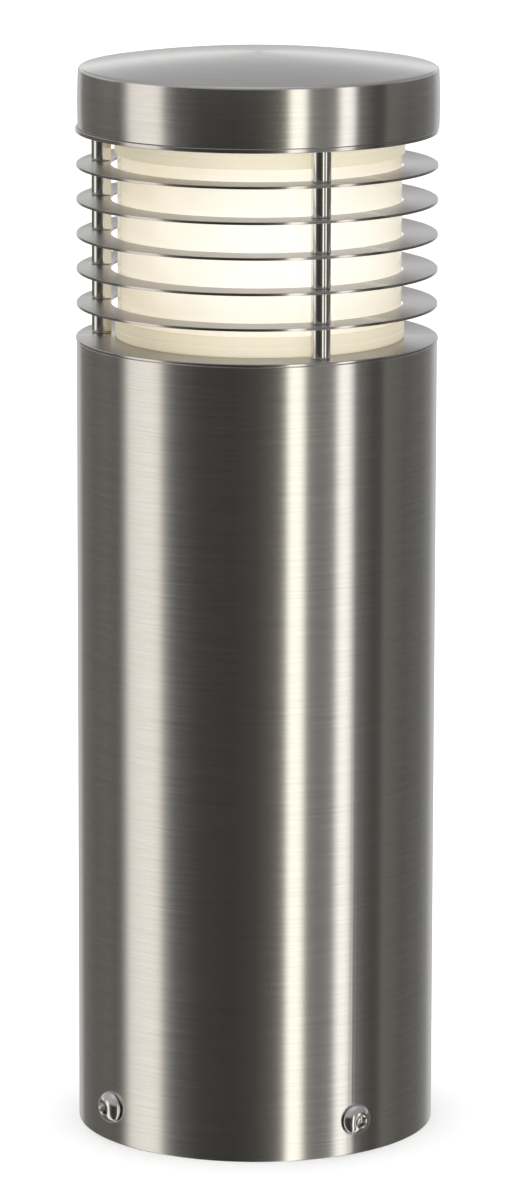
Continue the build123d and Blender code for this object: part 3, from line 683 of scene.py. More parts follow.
moulded("black_rubber", (0.025, 0.025, 0.025), 0.7, relief=0.04, grains=1600.0, sheen=0.15, seed=21.0)
moulded("black_bakelite", (0.022, 0.02, 0.019), 0.3, relief=0.008, coat=0.2, seed=22.0)
moulded("white_plastic", (0.86, 0.85, 0.82), 0.42, vary=0.04, seed=23.0)
moulded("porcelain", (0.86, 0.84, 0.80), 0.22, relief=0.012, coat=0.4, vary=0.05, seed=24.0)
moulded("black_glass", (0.03, 0.03, 0.035), 0.14, relief=0.004, coat=0.5, seed=25.0)
moulded("brown_insulation", (0.20, 0.085, 0.035), 0.45, seed=26.0)
moulded("blue_insulation", (0.04, 0.13, 0.45), 0.45, seed=27.0)
print(len(finish), "finishes so far")

# %% [markdown]
# The earth lead's insulation has two colours by rule: a yellow stripe runs along the green. A slow wave
# across the lead picks the stripe.

# %% Earth insulation
green, yellow = (0.05, 0.30, 0.06), (0.72, 0.62, 0.05)
tree, shader = new_material("earth_insulation")
where = add(tree, "ShaderNodeTexCoord")
wave = add(tree, "ShaderNodeTexWave", {"Scale": 260.0, "Distortion": 1.5, "Detail": 1.0},
           bands_direction="DIAGONAL")
tree.links.new(where.outputs["Object"], wave.inputs["Vector"])
skin = use(tree, skin_group)
stripe = tinted(tree, remap(tree, wave.outputs["Fac"], 0.42, 0.58), green, yellow)
tree.links.new(stripe, shader.inputs["Base Color"])
tree.links.new(total(tree, (skin.outputs["Height"], 0.15), 0.4), shader.inputs["Roughness"])
bumped(tree, shader, skin.outputs["Height"], 0.01)
print("earth insulation striped")

# %% [markdown]
# ## Glass, frosting and silicone
#
# The outer cylinder is clear: full transmission and a faint waviness that only its reflections show. The
# sleeve inside it is frosted, and its glow is painted light: an emission that stands in for the lamp's light
# coming through it. The painted glow is brightest near the middle and fades, as painted shade, towards both
# ends and to the left and right. The silicone seals get the same painted glow, weaker and yellower.

# %% Clear glass
tree, shader = new_material("clear_glass")
shader.inputs["Transmission Weight"].default_value = 1.0
shader.inputs["IOR"].default_value = 1.47
where = add(tree, "ShaderNodeTexCoord")
draw_lines = add(tree, "ShaderNodeTexNoise", {"Scale": 60.0, "Detail": 2.0})
tree.links.new(where.outputs["Object"], draw_lines.inputs["Vector"])
touch = use(tree, touch_group, Patch_Scale=45.0, Seed=31.0)
wiped = tinted(tree, touch.outputs["Smudges"], (0.99, 1.0, 0.995), (0.975, 0.985, 0.98))
tree.links.new(wiped, shader.inputs["Base Color"])
tree.links.new(total(tree, (touch.outputs["Smudges"], 0.035), 0.012), shader.inputs["Roughness"])
bumped(tree, shader, draw_lines.outputs["Fac"], 0.05, 0.3)
print("clear glass ready")

# %% Frosted, with a painted glow
# The glow of the frosted sleeve and of the seals is painted light. The lean sets where its brightest line
# stands, and the span sets where painted shade darkens its left and right sides.
painted_glow_lean = 9.0                      # millimetres that the brightest line stands to +X of the middle
painted_side_shade_from, painted_side_shade_to = 10.0, 62.0    # millimetres from that line at which its fade starts and ends
end_share = 0.5                      # how much of the whole fade the top and bottom take


def lamp_and_painted_glow(name, colour, glow_near, glow_far, strength, low, high, roughness=0.6, relief=0.01, sides=0.0):
    """A frosted surface that glows by emission: the lamp's own light on its globe, painted light on parts
    that are no lamp. The glow falls from its middle height, and to its left and right as painted shade.
    """
    tree, shader = new_material(name)
    shader.inputs["Emission Strength"].default_value = strength
    where = add(tree, "ShaderNodeTexCoord")
    axes = add(tree, "ShaderNodeSeparateXYZ")
    tree.links.new(where.outputs["Object"], axes.inputs[0])
    middle, half = (low + high) / 2 * MM, (high - low) / 2 * MM
    from_middle = math_node(tree, "DIVIDE", math_node(tree, "SUBTRACT", axes.outputs[2], middle), half)
    from_bright_line = math_node(tree, "SUBTRACT", axes.outputs[0], painted_glow_lean * MM)
    ends = remap(tree, math_node(tree, "ABSOLUTE", from_middle), 0.15, 1.0)
    painted_side_shade = remap(tree, math_node(tree, "ABSOLUTE", from_bright_line), painted_side_shade_from * MM, painted_side_shade_to * MM)
    skin = use(tree, skin_group, Grain_per_Metre=1800.0)
    touch = use(tree, touch_group, Patch_Scale=30.0, Seed=33.0)
    # Painted shade: the glow dims towards the ends and the sides.
    fade = total(tree, (ends, end_share), (painted_side_shade, sides), (touch.outputs["Smudges"], 0.06),
                 (skin.outputs["Height"], 0.05), -0.04)
    held = math_node(tree, "MINIMUM", math_node(tree, "MAXIMUM", fade, 0.0), 1.0)
    tree.links.new(tinted(tree, held, glow_near, glow_far), shader.inputs["Emission Color"])
    base = tinted(tree, skin.outputs["Height"], scaled(colour, 0.96), colour)
    tree.links.new(base, shader.inputs["Base Color"])
    tree.links.new(total(tree, (skin.outputs["Height"], 0.1), roughness), shader.inputs["Roughness"])
    bumped(tree, shader, skin.outputs["Height"], relief)


# The frosted sleeve and the silicone seals are no lamps, so their glow and its painted shade are painted
# light. The globe is the lamp itself.
lamp_and_painted_glow("frosted_diffuser", (0.55, 0.53, 0.48), glow_near=(1.0, 0.96, 0.87), glow_far=(0.66, 0.58, 0.44),
    strength=0.88, low=286.0, high=354.7, sides=0.85)
lamp_and_painted_glow("frosted_globe", (0.9, 0.88, 0.84), glow_near=(1.0, 0.93, 0.78), glow_far=(1.0, 0.88, 0.66),
    strength=1.6, low=297.0, high=333.0, roughness=0.35)
lamp_and_painted_glow("silicone", (0.62, 0.58, 0.48), glow_near=(0.88, 0.79, 0.60), glow_far=(0.38, 0.33, 0.20),
    strength=0.62, low=250.0, high=391.0, roughness=0.42, relief=0.006, sides=1.0)
print("lit finishes ready, in all", len(finish))

# %% [markdown]
# ## Fitting a piece
#
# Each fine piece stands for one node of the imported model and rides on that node's body. It takes the
# finish of the node's slot. A weighted-normal modifier lets the large flat faces win over the narrow
# eased ones, which keeps long reflections straight.

# %% Fit a piece
subparts, behaviour = frame["record"]["subparts"], frame["record"]["behaviour"]
slot_of = {row["node"]: row["material_slot"] for row in subparts}
body_of = {name: body for body, members in behaviour["bodies"].items() for name in members}
fitted = []


def fit(piece, node):
    """Gives a fine piece its finish and body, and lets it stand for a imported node."""
    piece.data.materials.clear()
    piece.data.materials.append(finish[slot_of[node]])
    weighted = piece.modifiers.new("flat_faces_first", "WEIGHTED_NORMAL")
    weighted.keep_sharp = True
    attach(piece, body_of[node])
    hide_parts(node)
    fitted.append(node)


def fit_turned(node, outline, sides=SIDES, at=(0.0, 0.0), place=None):
    """Turns the fine piece of a node and fits it."""
    fit(turned(f"{node}_fine", outline, sides, at, place), node)


def fit_many(node, bm):
    """Fits one fine piece that is made of several turned shapes."""
    fit(to_object(f"{node}_fine", bm), node)


print("slots for", len(slot_of), "nodes")

# %% [markdown]
# ## The tube
#
# A welded tube, sawn square and deburred, with four clearance holes near the ground for its clamp screws.
# It is turned like the rest, and the drill is laid on its side by a placement for each azimuth.

# %% Tube
tube_inner = 62.0
screw_azimuths = (-53.6, 34.0, 126.4, 214.0)
screw_height = 12.5
screw_hole = 3.3
drill_from, drill_to = 55.0, 70.0    # radii, inside and outside the wall
wall = turned("tube_fine", band(tube_inner, tube_radius, 0.0, tube_top, 0.3), FINE_SIDES)
drill(wall, [(screw_hole, drill_from, drill_to, 0.0, 0.0, outward(a, screw_height)) for a in screw_azimuths])
fit(wall, "tube")
print("tube", len(wall.data.vertices), "points")

# %% [markdown]
# ## Plates and louvre rings
#
# The plates and rings are laser-cut discs. Their rims are tumbled and eased, and a thin bright line runs
# round each one: partly the light that the rounds catch, partly the painted highlight that the satin finish
# puts on corners. The rings are only a millimetre thick, so their corners are eased by much less than the
# plate's.

# %% Body plate and rings
rod_azimuths = (23.4, 143.4, 263.4)
rod_pitch = 55.2
rod_hole = 2.15
rod_spots = [spot(a, rod_pitch) for a in rod_azimuths]
plate_bore, plate_radius = 25.5, 63.8
bracket_side = 39.2
bracket_spots = [(-bracket_side, 0.0), (bracket_side, 0.0)]
plate = turned("body_plate_fine", band(plate_bore, plate_radius, tube_top, plate_top, 0.3), FINE_SIDES)
drill(plate, through(rod_hole, tube_top, plate_top, rod_spots + bracket_spots, 2.0))
fit(plate, "body_plate")
ring_bore, ring_ease = 51.5, 0.12
for number in range(1, 6):
    node = f"louvre_ring_{number}"
    low, high = span_of(node)
    ring = turned(f"{node}_fine", band(ring_bore, tube_radius, low, high, ring_ease), FINE_SIDES)
    drill(ring, through(rod_hole, low, high, rod_spots))
    fit(ring, node)
print("body plate and 5 rings")

# %% [markdown]
# ## Spacer sleeves and tie rods
#
# Short polished sleeves slide over each rod, one in every gap. The rods are threaded at their ends, and
# a washer and a nut pull the whole stack tight.

# %% Sleeves and rods
ring_spans = [span_of(f"louvre_ring_{number}") for number in range(1, 6)]
gap_lows = [plate_top] + [high for low, high in ring_spans]
gap_highs = [low for low, high in ring_spans] + [lid_plate_low]
sleeve_radius = 3.5
rod_radius, rod_neck, rod_tip = 1.98, 1.9, 1.5
rod_thread = (rod_radius, 0.7, 0.38)     # radius, pitch and depth
rod_low, rod_high = span_of("tie_rod_1")
bar = [(0.0, rod_low), (rod_tip, rod_low), (rod_neck, rod_low + 0.4)]
bar += thread_rows(*rod_thread, rod_low + 0.6, rod_low + 9.0)
bar += thread_rows(*rod_thread, rod_high - 11.0, rod_high - 0.6)
bar += [(rod_neck, rod_high - 0.4), (rod_tip, rod_high), (0.0, rod_high)]
for number, place in enumerate(rod_spots, start=1):
    bm = bmesh.new()
    for low, high in zip(gap_lows, gap_highs):
        spin(bm, band(rod_hole, sleeve_radius, low, high, 0.3, 4), 64, place)
    fit_many(f"spacer_sleeves_{number}", bm)
    fit_turned(f"tie_rod_{number}", bar, 32, place)
print("sleeves", len(gap_lows) * 3, "rods 3")

# %% Washers and nuts


def hex_nut(bm, half_flats, bore, low, high, at=(0.0, 0.0), sides=48):
    """A chamfered hexagon nut, its bore broken at both ends."""
    up, down = nut_side(6, 1), nut_side(6, -1)
    rim, lead_in, trim = half_flats * 0.95, 0.3, 0.15
    spin(bm, [(bore, low + lead_in), (bore + lead_in, low), (rim, low), (half_flats, low + trim, down),
              (half_flats, high - trim, up), (rim, high), (bore + lead_in, high), (bore, high - lead_in)],
         sides, at)


washer_radius = 4.4
nut_half_flats, nut_bore = 3.5, 2.05
for end in ("lower", "upper"):
    washers, nuts = bmesh.new(), bmesh.new()
    for place in rod_spots:
        spin(washers, band(rod_hole, washer_radius, *span_of(f"{end}_rod_washers"), 0.15), 64, place)
        hex_nut(nuts, nut_half_flats, nut_bore, *span_of(f"{end}_rod_nuts"), place)
    fit_many(f"{end}_rod_washers", washers)
    fit_many(f"{end}_rod_nuts", nuts)
print("washers 6, nuts 6")

# %% [markdown]
# ## Glass, frosted sleeve and seals
#
# The seals are soft mouldings with a channel for the two cylinders and a shallow line round the outside.
# The glass has fire-polished rims, so its corners are well rounded. The frosted sleeve just touches the
# glass: with air between them, the glass would mirror its own dark surroundings in a strip along each side.
# All four stand a little to +X of the tube's axis.

# %% Cylinders and seals
glass_at = (0.9, 0.0)
glass_inner, glass_outer = 47.5, 50.0
frosted_inner, frosted_outer = 46.1, 47.53
fit_turned("glass_cylinder", band(glass_inner, glass_outer, *span_of("glass_cylinder"), 0.6, 4), FINE_SIDES,
           glass_at)
fit_turned("diffuser_sleeve", band(frosted_inner, frosted_outer, *span_of("glass_cylinder"), 0.3), FINE_SIDES,
           glass_at)
seal_height, seal_floor = 7.25, 1.6
seal_inner, seal_outer = 44.5, 51.0
channel_inner, channel_outer = 45.8, 50.3
line_radius, line_half = 50.7, 0.7


def seal_outline(start, side):
    """The seal's section from the face it stands on; side is +1 when its channel opens upwards."""
    def z(height):
        return start + side * height
    middle = seal_height / 2
    return eased([(seal_inner, z(0), 0.5), (seal_outer, z(0), 0.9),
                  (seal_outer, z(middle - line_half), 0.4), (line_radius, z(middle), 0.5),
                  (seal_outer, z(middle + line_half), 0.4), (seal_outer, z(seal_height), 0.6),
                  (channel_outer, z(seal_height), 0.1), (channel_outer, z(seal_floor), 0.15),
                  (channel_inner, z(seal_floor), 0.15), (channel_inner, z(seal_height), 0.2),
                  (seal_inner, z(seal_height), 0.5)], 0.2, 4)


fit_turned("lower_seal", seal_outline(low_of("lower_seal"), 1), SIDES, glass_at)
fit_turned("upper_seal", seal_outline(high_of("upper_seal"), -1), SIDES, glass_at)
print("cylinders and seals")

# %% [markdown]
# ## The lid plate and the lid
#
# The plate's middle is drawn up into a neck that keeps rain out. Its rim stands a hair to -X of the neck,
# which a form does to the rim's points alone. The lid is spun from sheet: its skirt bellies by a hair,
# its shoulder is rounded over the chuck, and its top is a very shallow dome.

# %% Lid plate
neck_inner, neck_outer, neck_top = 42.0, 43.2, high_of("lid_plate")
lid_plate_radius = 63.6
rim_from = 60.0
rim = offset_form(-0.2)
clip_azimuths = (83.4, 203.4, 323.4)
clip_spots = [spot(a, rod_pitch) for a in clip_azimuths]
clip_hole = 1.6
section = eased([(neck_inner, lid_plate_low, 0.8), (lid_plate_radius, lid_plate_low, 0.25),
                 (lid_plate_radius, lid_plate_high, 0.2), (neck_outer, lid_plate_high, 1.0),
                 (neck_outer, neck_top, 0.4), (neck_inner, neck_top, 0.4)], 0.3, 4)
section = [(r, z, rim) if r > rim_from else (r, z) for r, z in section]
plate = turned("lid_plate_fine", section, FINE_SIDES)
drill(plate, through(rod_hole, lid_plate_low, lid_plate_high, rod_spots)
      + through(clip_hole, lid_plate_low, lid_plate_high, clip_spots))
fit(plate, "lid_plate")
print("lid plate", len(plate.data.vertices), "points")

# %% Lid
lid_at = (0.4, 0.0)
lid_low, lid_top = lid_plate_high + 0.1, high_of("lid_shell")
shoulder = low_of("lid_shell") + 20.7
foot_radius, belly_radius, shoulder_radius = 63.35, 63.5, 63.15
lid_wall = 1.0
crown = 5.2
ball = (shoulder_radius ** 2 + crown ** 2) / (2 * crown)
dome_reach, dome_rows = 60.0, 22


def dome(radius, drop=0.0):
    """Height of the dome at a radius."""
    return lid_top - drop - ball + math.sqrt(ball ** 2 - radius ** 2)


def skirt(inset):
    """The skirt's side from its foot to its shoulder."""
    middle = (lid_low + shoulder) / 2
    return arc((foot_radius - inset, lid_low), (belly_radius - inset, middle),
               (shoulder_radius - inset, shoulder - inset), 10)


steps = [dome_reach * (i / dome_rows) for i in range(1, dome_rows + 1)]
outside = [(0.0, lid_top)] + [(r, dome(r), 0) for r in steps] + [(shoulder_radius, shoulder, 1.3)]
side = list(reversed(skirt(0.0)))[2:]
outside += [(r, z, 0) for r, z in side[:-1]] + [(*side[-1], 0.12)]
foot, *rest = skirt(lid_wall)[:-2]
inside = [(*foot, 0.25)] + [(r, z, 0) for r, z in rest]
inside += [(shoulder_radius - lid_wall, shoulder - lid_wall, 0.4)]
inside += [(r, dome(r, lid_wall), 0) for r in reversed([s * 0.98 for s in steps])]
inside += [(0.0, lid_top - lid_wall)]
fit_turned("lid_shell", eased(outside + inside, 0.25, 6), FINE_SIDES, lid_at)
print("lid outline", len(outside + inside), "points before easing")

# %% [markdown]
# Inside the lid are three leaf clips on rivets, and a sponge ring that meets the neck. They show when
# the lid is lifted to change the lamp. The clips and the ring are softened copies, and the rivets are
# turned, each with a head at both ends.

# %% Clips, rivets and gasket
rivet_radius, rivet_head, rivet_rim = 1.55, 2.8, 0.7
for node, width, segments in (("lid_clips", 0.12, 2), ("lid_gasket", 0.3, 3)):
    fit(softened(node, width, segments), node)
bm = bmesh.new()
low, high = span_of("lid_clip_rivets")
for place in clip_spots:
    spin(bm, eased([(0.0, low), (rivet_head, low, 0.5), (rivet_head, low + rivet_rim, 0.1),
                    (rivet_radius, low + rivet_rim, 0.0), (rivet_radius, high - rivet_rim, 0.0),
                    (rivet_head, high - rivet_rim, 0.1), (rivet_head, high, 0.5), (0.0, high)], 0.1, 4),
         48, place)
fit_many("lid_clip_rivets", bm)
print("clips, rivets and gasket")

# %% [markdown]
# ## The lamp
#
# A small frosted globe on a plastic collar. Its nickel cap has the deep rounded thread of a household
# lamp: one wave of the radius for each pitch of height.

# %% Lamp cap, tip and collar
lamp_pitch = 3.63
cap_radius, cap_inner, cap_foot = 13.25, 12.75, 12.95
low, high = span_of("lamp_cap")
threads = [thread_rows(radius, lamp_pitch, 0.9, low + 0.8, high - 2.0, 12, True)
           for radius in (cap_inner, cap_radius)]
section = [(cap_inner, low + 0.2)] + threads[0] + [(cap_inner, high), (cap_radius, high)]
section += list(reversed(threads[1])) + [(cap_radius, low + 0.5), (cap_foot, low)]
fit_turned("lamp_cap", section, 96)
low, high = span_of("lamp_tip")
fit_turned("lamp_tip", eased([(0.0, low), (4.6, low, 0.5), (5.4, low + 0.7, 0.4), (12.6, high - 0.4, 0.5),
                              (12.6, high, 0.1), (0.0, high)], 0.2, 4), 96)
low, high = span_of("lamp_collar")
fit_turned("lamp_collar", eased([(0.0, low), (11.8, low), (11.8, low + 10.0, 0.0), (14.4, low + 10.0, 0.3),
                                 (14.4, low + 12.0, 0.6), (17.9, high - 4.0, 0.8), (18.5, high - 3.0, 0.5),
                                 (18.5, high, 0.3), (0.0, high)], 0.3, 4), 128)
print("lamp cap, tip and collar")

# %% Lamp globe
globe_radius, globe_inner = 22.5, 21.3
globe_rows = 40
seat, globe_high = span_of("lamp_globe")
centre = globe_high - globe_radius
first = math.asin((seat - centre) / globe_radius)
angles = [first + (math.pi / 2 - first) * i / globe_rows for i in range(globe_rows)]
globe = [(globe_radius * math.cos(a), centre + globe_radius * math.sin(a)) for a in angles]
globe += [(0.0, globe_high), (0.0, centre + globe_inner)]
inner_side = [(globe_inner * math.cos(a), max(seat, centre + globe_inner * math.sin(a))) for a in angles]
globe += list(reversed(inner_side))
fit_turned("lamp_globe", globe, 128)
print("lamp globe, centre at", round(centre, 2))

# %% [markdown]
# ## The lampholder
#
# Two black mouldings screwed together hold a porcelain core and a threaded shell. The barrel has a row of
# finger ribs, made by letting its radius swell in and out as it goes round.

# %% Lampholder
holder_radius, holder_inner = 19.5, 16.95
throat = 14.6
rib_count, rib_depth = 40, 0.35


def ribs(radius, height, angle):
    """Finger ribs: shallow scallops all round."""
    return radius - rib_depth * (0.5 - 0.5 * math.cos(rib_count * angle)) ** 2, height


low, high = span_of("holder_barrel")
core_top = high_of("holder_core") + 0.05
section = [(throat, high - 0.4), (15.0, high), (19.0, high), (holder_radius, high - 0.5),
           (holder_radius, high - 4.0), (holder_radius, high - 4.5, ribs), (holder_radius, low + 6.0, ribs),
           (holder_radius, low + 5.5), (holder_radius, low + 0.3), (19.2, low), (holder_inner, low),
           (holder_inner, core_top), (throat, core_top)]
fit_turned("holder_barrel", section, 240)
shell_inner, shell_outer = 13.85, 14.55
low, high = span_of("holder_shell")
bore = thread_rows(shell_inner, lamp_pitch, -0.45, low + 0.5, high - 0.5, 12, True)
fit_turned("holder_shell", [(shell_inner, low)] + bore + [(shell_inner, high), (shell_outer, high),
                                                          (shell_outer, low)], 96)
nipple_hole, cap_wall = 5.05, 2.6
low, high = span_of("holder_cap")
fit_turned("holder_cap", eased([(nipple_hole, low), (holder_radius, low, 4.0), (holder_radius, high, 0.3),
                                (holder_inner, high, 0.2), (holder_inner, low + cap_wall, 1.0),
                                (nipple_hole, low + cap_wall)], 0.3, 6))
core_radius = 16.9
fit_turned("holder_core", band(0.0, core_radius, *span_of("holder_core"), 0.4, 4), 128)
for node, width in (("holder_contact", 0.12), ("holder_terminals", 0.2)):
    fit(softened(node, width), node)
print("lampholder, 6 pieces")

# %% [markdown]
# ## Bracket, nipple and wiring
#
# A hollow threaded nipple ties the lampholder to a bent strap. The terminal block hangs below on an angle
# strip. These pieces are mostly bent sheet, so their edges are simply deburred. The three leads keep
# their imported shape, which is already a smooth tube.

# %% Bracket, nipple and wiring
low, high = span_of("holder_nipple")
section = [(3.8, low), (4.6, low), (4.95, low + 0.4)] + thread_rows(4.98, 1.0, 0.5, low + 0.6, high - 0.6)
fit_turned("holder_nipple", section + [(4.95, high - 0.4), (4.6, high), (3.8, high)], 48)
bm = bmesh.new()
low, high = span_of("nipple_locknuts")
locknut_half_flats, locknut_height = 7.0, 2.5
for start in (low, high - locknut_height):
    hex_nut(bm, locknut_half_flats, nipple_hole, start, start + locknut_height, sides=72)
fit_many("nipple_locknuts", bm)
for node, width in (("holder_bracket", 0.2), ("bracket_screws", 0.12), ("terminal_carrier", 0.2),
                    ("terminal_block", 0.35), ("terminal_screws", 0.1), ("block_screws", 0.1),
                    ("earth_tag", 0.1), ("earth_screw", 0.1)):
    fit(softened(node, width), node)
for node in ("lead_live", "lead_neutral", "lead_earth"):
    nodes[node].data.materials.clear()
    nodes[node].data.materials.append(finish[slot_of[node]])
print("bracket and wiring")

# %% [markdown]
# ## The base plate and its clamp screws
#
# A zinc-coated plate is bolted to the footing. Its four lugs hold square nuts, and a polished
# button-head screw draws the tube against each. The screw's socket is a hexagon form, its shank a
# thread, and its dome an arc through three points.

# %% Base plate and bushing
flange_low = 3.0
fit(softened("base_plate", 0.3), "base_plate")
low, high = span_of("cable_bushing")
fit_turned("cable_bushing", eased([(8.0, low, 0.6), (10.0, low, 0.3), (10.0, flange_low, 0.0),
                                   (14.0, flange_low, 0.4), (14.0, high, 0.8), (8.0, high, 0.8)], 0.3, 5), 96)
print("base plate and bushing")

# %% Side screws and clamp nuts
# Heights here are measured along the screw's own axis, so they are radii of the tube.
seat = 63.55
key, square = flats(6), flats(4)
head_radius, head_height, head_flat = 5.75, 3.4, 2.5
head_arc = arc((head_flat, head_height), (head_radius * 0.76, head_height * 0.75), (head_radius, 0.6), 14)
screw = [(0.0, seat + 0.9), (1.9, seat + 1.2, key), (2.0, seat + 1.4, key), (2.0, seat + 3.2, key),
         (2.42, seat + head_height)]
screw += [(r, seat + h) for r, h in head_arc]
screw += [(head_radius, seat + 0.15), (head_radius - 0.15, seat), (3.05, seat), (3.0, seat - 0.2)]
screw += list(reversed(thread_rows(2.98, 1.0, 0.55, seat - 15.4, seat - 2.0)))
screw += [(2.9, seat - 15.6), (2.4, seat - 16.0), (0.0, seat - 16.0)]
low, high = 53.0, 58.0    # the nut's inner and outer face
nut = [(3.05, low + 0.4), (3.45, low), (4.7, low), (4.85, low + 0.15, square), (5.0, low + 0.35, square),
       (5.0, high - 0.35, square), (4.85, high - 0.15, square), (4.7, high), (3.45, high), (3.05, high - 0.4)]
for number, azimuth in enumerate(screw_azimuths, start=1):
    place = outward(azimuth, screw_height)
    fit_turned(f"side_screw_{number}", screw, 96, place=place)
    fit_turned(f"clamp_nut_{number}", nut, 64, place=place)
print("4 screws and 4 nuts; fitted", len(fitted), "of", len(nodes))

# %% [markdown]
# ## Floor, studio and camera
#
# The floor is a plain pale sheet, with a little light of its own so that it stays near white. The studio
# is drawn in the world shader: metal shows whatever stands round it, so tall pale and dark panels are
# placed by compass direction, and polished pieces pick them up as upright streaks. Diffuse surfaces see
# only an even soft white. The world has no light sampling of its own, so the ray kinds can be told apart.

# %% Floor
bm = bmesh.new()
bmesh.ops.create_grid(bm, x_segments=24, y_segments=24, size=6.0)
floor = to_object("studio_floor", bm)
tree, shader = new_material("floor_paper")
skin = use(tree, skin_group, Grain_per_Metre=60.0)
paper = tinted(tree, skin.outputs["Height"], (0.92, 0.92, 0.92), (0.94, 0.94, 0.94))
tree.links.new(paper, shader.inputs["Base Color"])
shader.inputs["Roughness"].default_value = 0.9
shader.inputs["Emission Color"].default_value = (1.0, 1.0, 1.0, 1.0)
shader.inputs["Emission Strength"].default_value = 0.12
floor.data.materials.append(finish["floor_paper"])
floor.visible_glossy = False
print("floor", floor.name)

# %% Studio panels
world = bpy.data.worlds.new("studio")
bpy.context.scene.world = world
world.use_nodes = True
world.cycles.sampling_method = "NONE"
t = world.node_tree
t.nodes.clear()


def ramp_of(stops, low, high):
    """A colour ramp in the world's tree, with a stop for each (degrees, colour) of a span."""
    ramp = add(t, "ShaderNodeValToRGB")
    marks = ramp.color_ramp.elements
    while len(marks) > 1:
        marks.remove(marks[-1])
    for i, (degrees, colour) in enumerate(stops):
        position = (degrees - low) / (high - low)
        mark = marks[0] if i == 0 else marks.new(position)
        mark.position = position
        mark.color = (*colour, 1.0)
    return ramp


# Each stop is a direction in degrees from the front, + towards +X, and the panel's colour there.
panels = [(-158, (0.60, 0.60, 0.59)), (-150, (0.22, 0.21, 0.20)),
          (-128, (0.135, 0.128, 0.115)), (-112, (0.155, 0.148, 0.132)), (-99, (0.12, 0.117, 0.108)),
          (-94, (0.40, 0.385, 0.36)), (-89, (1.10, 1.05, 0.98)), (-72, (1.20, 1.15, 1.07)),
          (-66, (1.10, 1.05, 0.98)), (-61, (0.34, 0.33, 0.315)), (-54, (0.12, 0.12, 0.115)),
          (-38, (0.055, 0.053, 0.048)), (-16, (0.045, 0.043, 0.038)), (0, (0.065, 0.062, 0.053)),
          (12, (0.13, 0.125, 0.11)), (18, (0.30, 0.28, 0.24)), (21, (1.75, 1.68, 1.50)),
          (29, (1.75, 1.70, 1.55)), (32.5, (0.32, 0.31, 0.285)), (40, (0.22, 0.215, 0.205)),
          (50.5, (0.26, 0.25, 0.24)), (55, (1.60, 1.55, 1.47)), (61.5, (1.60, 1.57, 1.52)),
          (66, (0.22, 0.215, 0.205)), (80, (0.075, 0.073, 0.066)), (87, (0.08, 0.078, 0.07)),
          (90, (0.19, 0.183, 0.163)), (96, (0.165, 0.16, 0.143)), (110, (0.115, 0.112, 0.102)),
          (131, (0.16, 0.157, 0.15)), (146, (0.28, 0.278, 0.275)), (160, (0.62, 0.62, 0.62))]
where = add(t, "ShaderNodeTexCoord")
axes = add(t, "ShaderNodeSeparateXYZ")
t.links.new(where.outputs["Generated"], axes.inputs[0])
forward = math_node(t, "MULTIPLY", axes.outputs[1], -1.0)
compass = math_node(t, "ARCTAN2", axes.outputs[0], forward)
panel_ramp = ramp_of(panels, -180, 180)
turns = math_node(t, "ADD", math_node(t, "DIVIDE", compass, 2 * math.pi), 0.5)
t.links.new(turns, panel_ramp.inputs[0])
print("panels", len(panels))

# %% [markdown]
# Behind and above the light the studio is a pale sweep with a darker ceiling: the lid's top and the rings
# look up there. It replaces the panels only for directions that point back and up, or high overhead. Its
# light falls off a little towards +X.

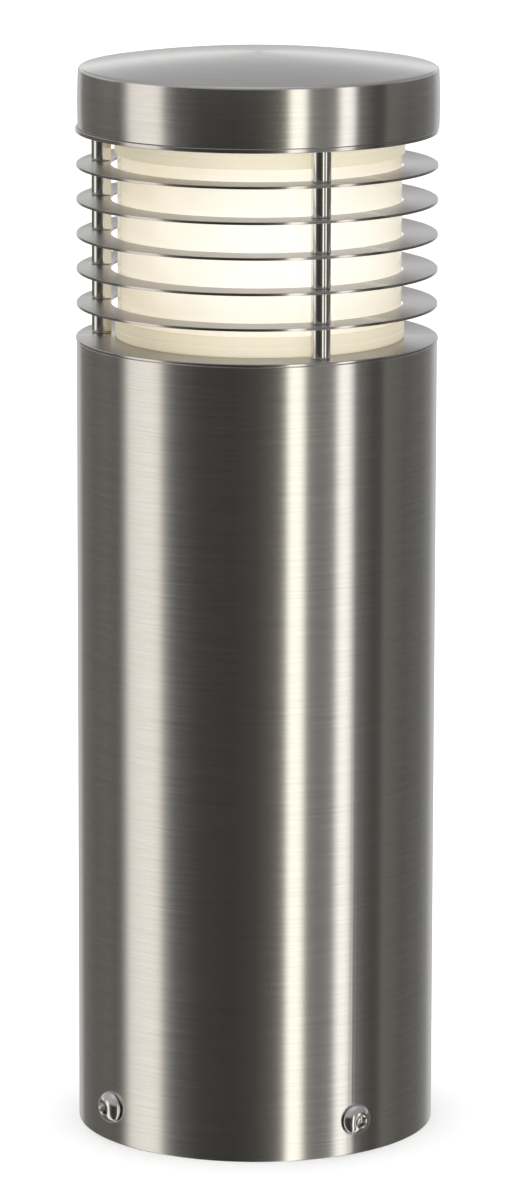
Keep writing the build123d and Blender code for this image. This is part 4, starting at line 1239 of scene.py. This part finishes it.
# %% Sweep behind and above
# Each stop is a height above the horizon in degrees, and how bright the sweep is there.
sweep = [(-20, 0.50), (-12, 0.52), (-3, 0.98), (4, 1.10), (9, 0.84), (14, 0.52), (22, 0.42), (35, 0.38),
         (60, 0.45), (90, 0.80)]
rise = math_node(t, "MULTIPLY", math_node(t, "ARCSINE", axes.outputs[2]), 180 / math.pi)
sweep_ramp = ramp_of([(degrees, (level, level, level * 1.01)) for degrees, level in sweep], -90, 90)
t.links.new(math_node(t, "DIVIDE", math_node(t, "ADD", rise, 90.0), 180.0), sweep_ramp.inputs[0])
behind = remap(t, axes.outputs[1], -0.05, 0.35)
above = remap(t, rise, 2.0, 10.0)
overhead = remap(t, rise, 10.0, 28.0)
back = math_node(t, "MAXIMUM", math_node(t, "MULTIPLY", behind, above), overhead)
side_light = math_node(t, "SUBTRACT", 1.03, math_node(t, "MULTIPLY", axes.outputs[0], 0.22))
swept = add(t, "ShaderNodeVectorMath", operation="SCALE")
t.links.new(sweep_ramp.outputs["Color"], swept.inputs[0])
t.links.new(side_light, swept.inputs["Scale"])
studio = tinted(t, back, panel_ramp.outputs["Color"], swept.outputs[0])
print("sweep", len(sweep))

# %% [markdown]
# Only reflections see the studio. Light that falls on diffuse surfaces is an even white, and a ray that
# leaves through the glass, or comes straight from the camera, finds plain white.

# %% The world's output
path = add(t, "ShaderNodeLightPath")
seen = tinted(t, path.outputs["Is Glossy Ray"], (1.3, 1.3, 1.3), studio)
for kind in ("Is Transmission Ray", "Is Camera Ray"):
    seen = tinted(t, path.outputs[kind], seen, (1.0, 1.0, 1.0))
background = add(t, "ShaderNodeBackground")
t.links.new(seen, background.inputs["Color"])
output = add(t, "ShaderNodeOutputWorld")
t.links.new(background.outputs[0], output.inputs["Surface"])
bpy.context.scene.view_settings.view_transform = "Standard"
print("world ready")

# %% [markdown]
# A long lens from a little above keeps the tube's sides almost upright. The camera stands on the front
# side, tilted down, with no shift and no blur. It is turned a hair about its own line of sight.

# %% Camera
eye = bpy.data.cameras.new("studio_camera")
eye.lens, eye.sensor_width = 185.5, 36.0
eye.clip_start, eye.clip_end = 0.05, 50.0
camera = bpy.data.objects.new("studio_camera", eye)
eye_at = (-0.00064, -2.1544, 0.6277)
tilt, roll = math.radians(90 - 11.514), math.radians(0.128)
camera.matrix_world = (Matrix.Translation(eye_at) @ Matrix.Rotation(tilt, 4, "X")
                       @ Matrix.Rotation(roll, 4, "Z"))
bpy.context.scene.collection.objects.link(camera)
bpy.context.scene.camera = camera
print("camera at", eye_at)

# %% [markdown]
# ## Finish
#
# The last cell prints the names of the imported nodes that no fine piece stands for.

# %% Nodes left as imported
print("left as packed:", sorted(set(nodes) - set(fitted)))
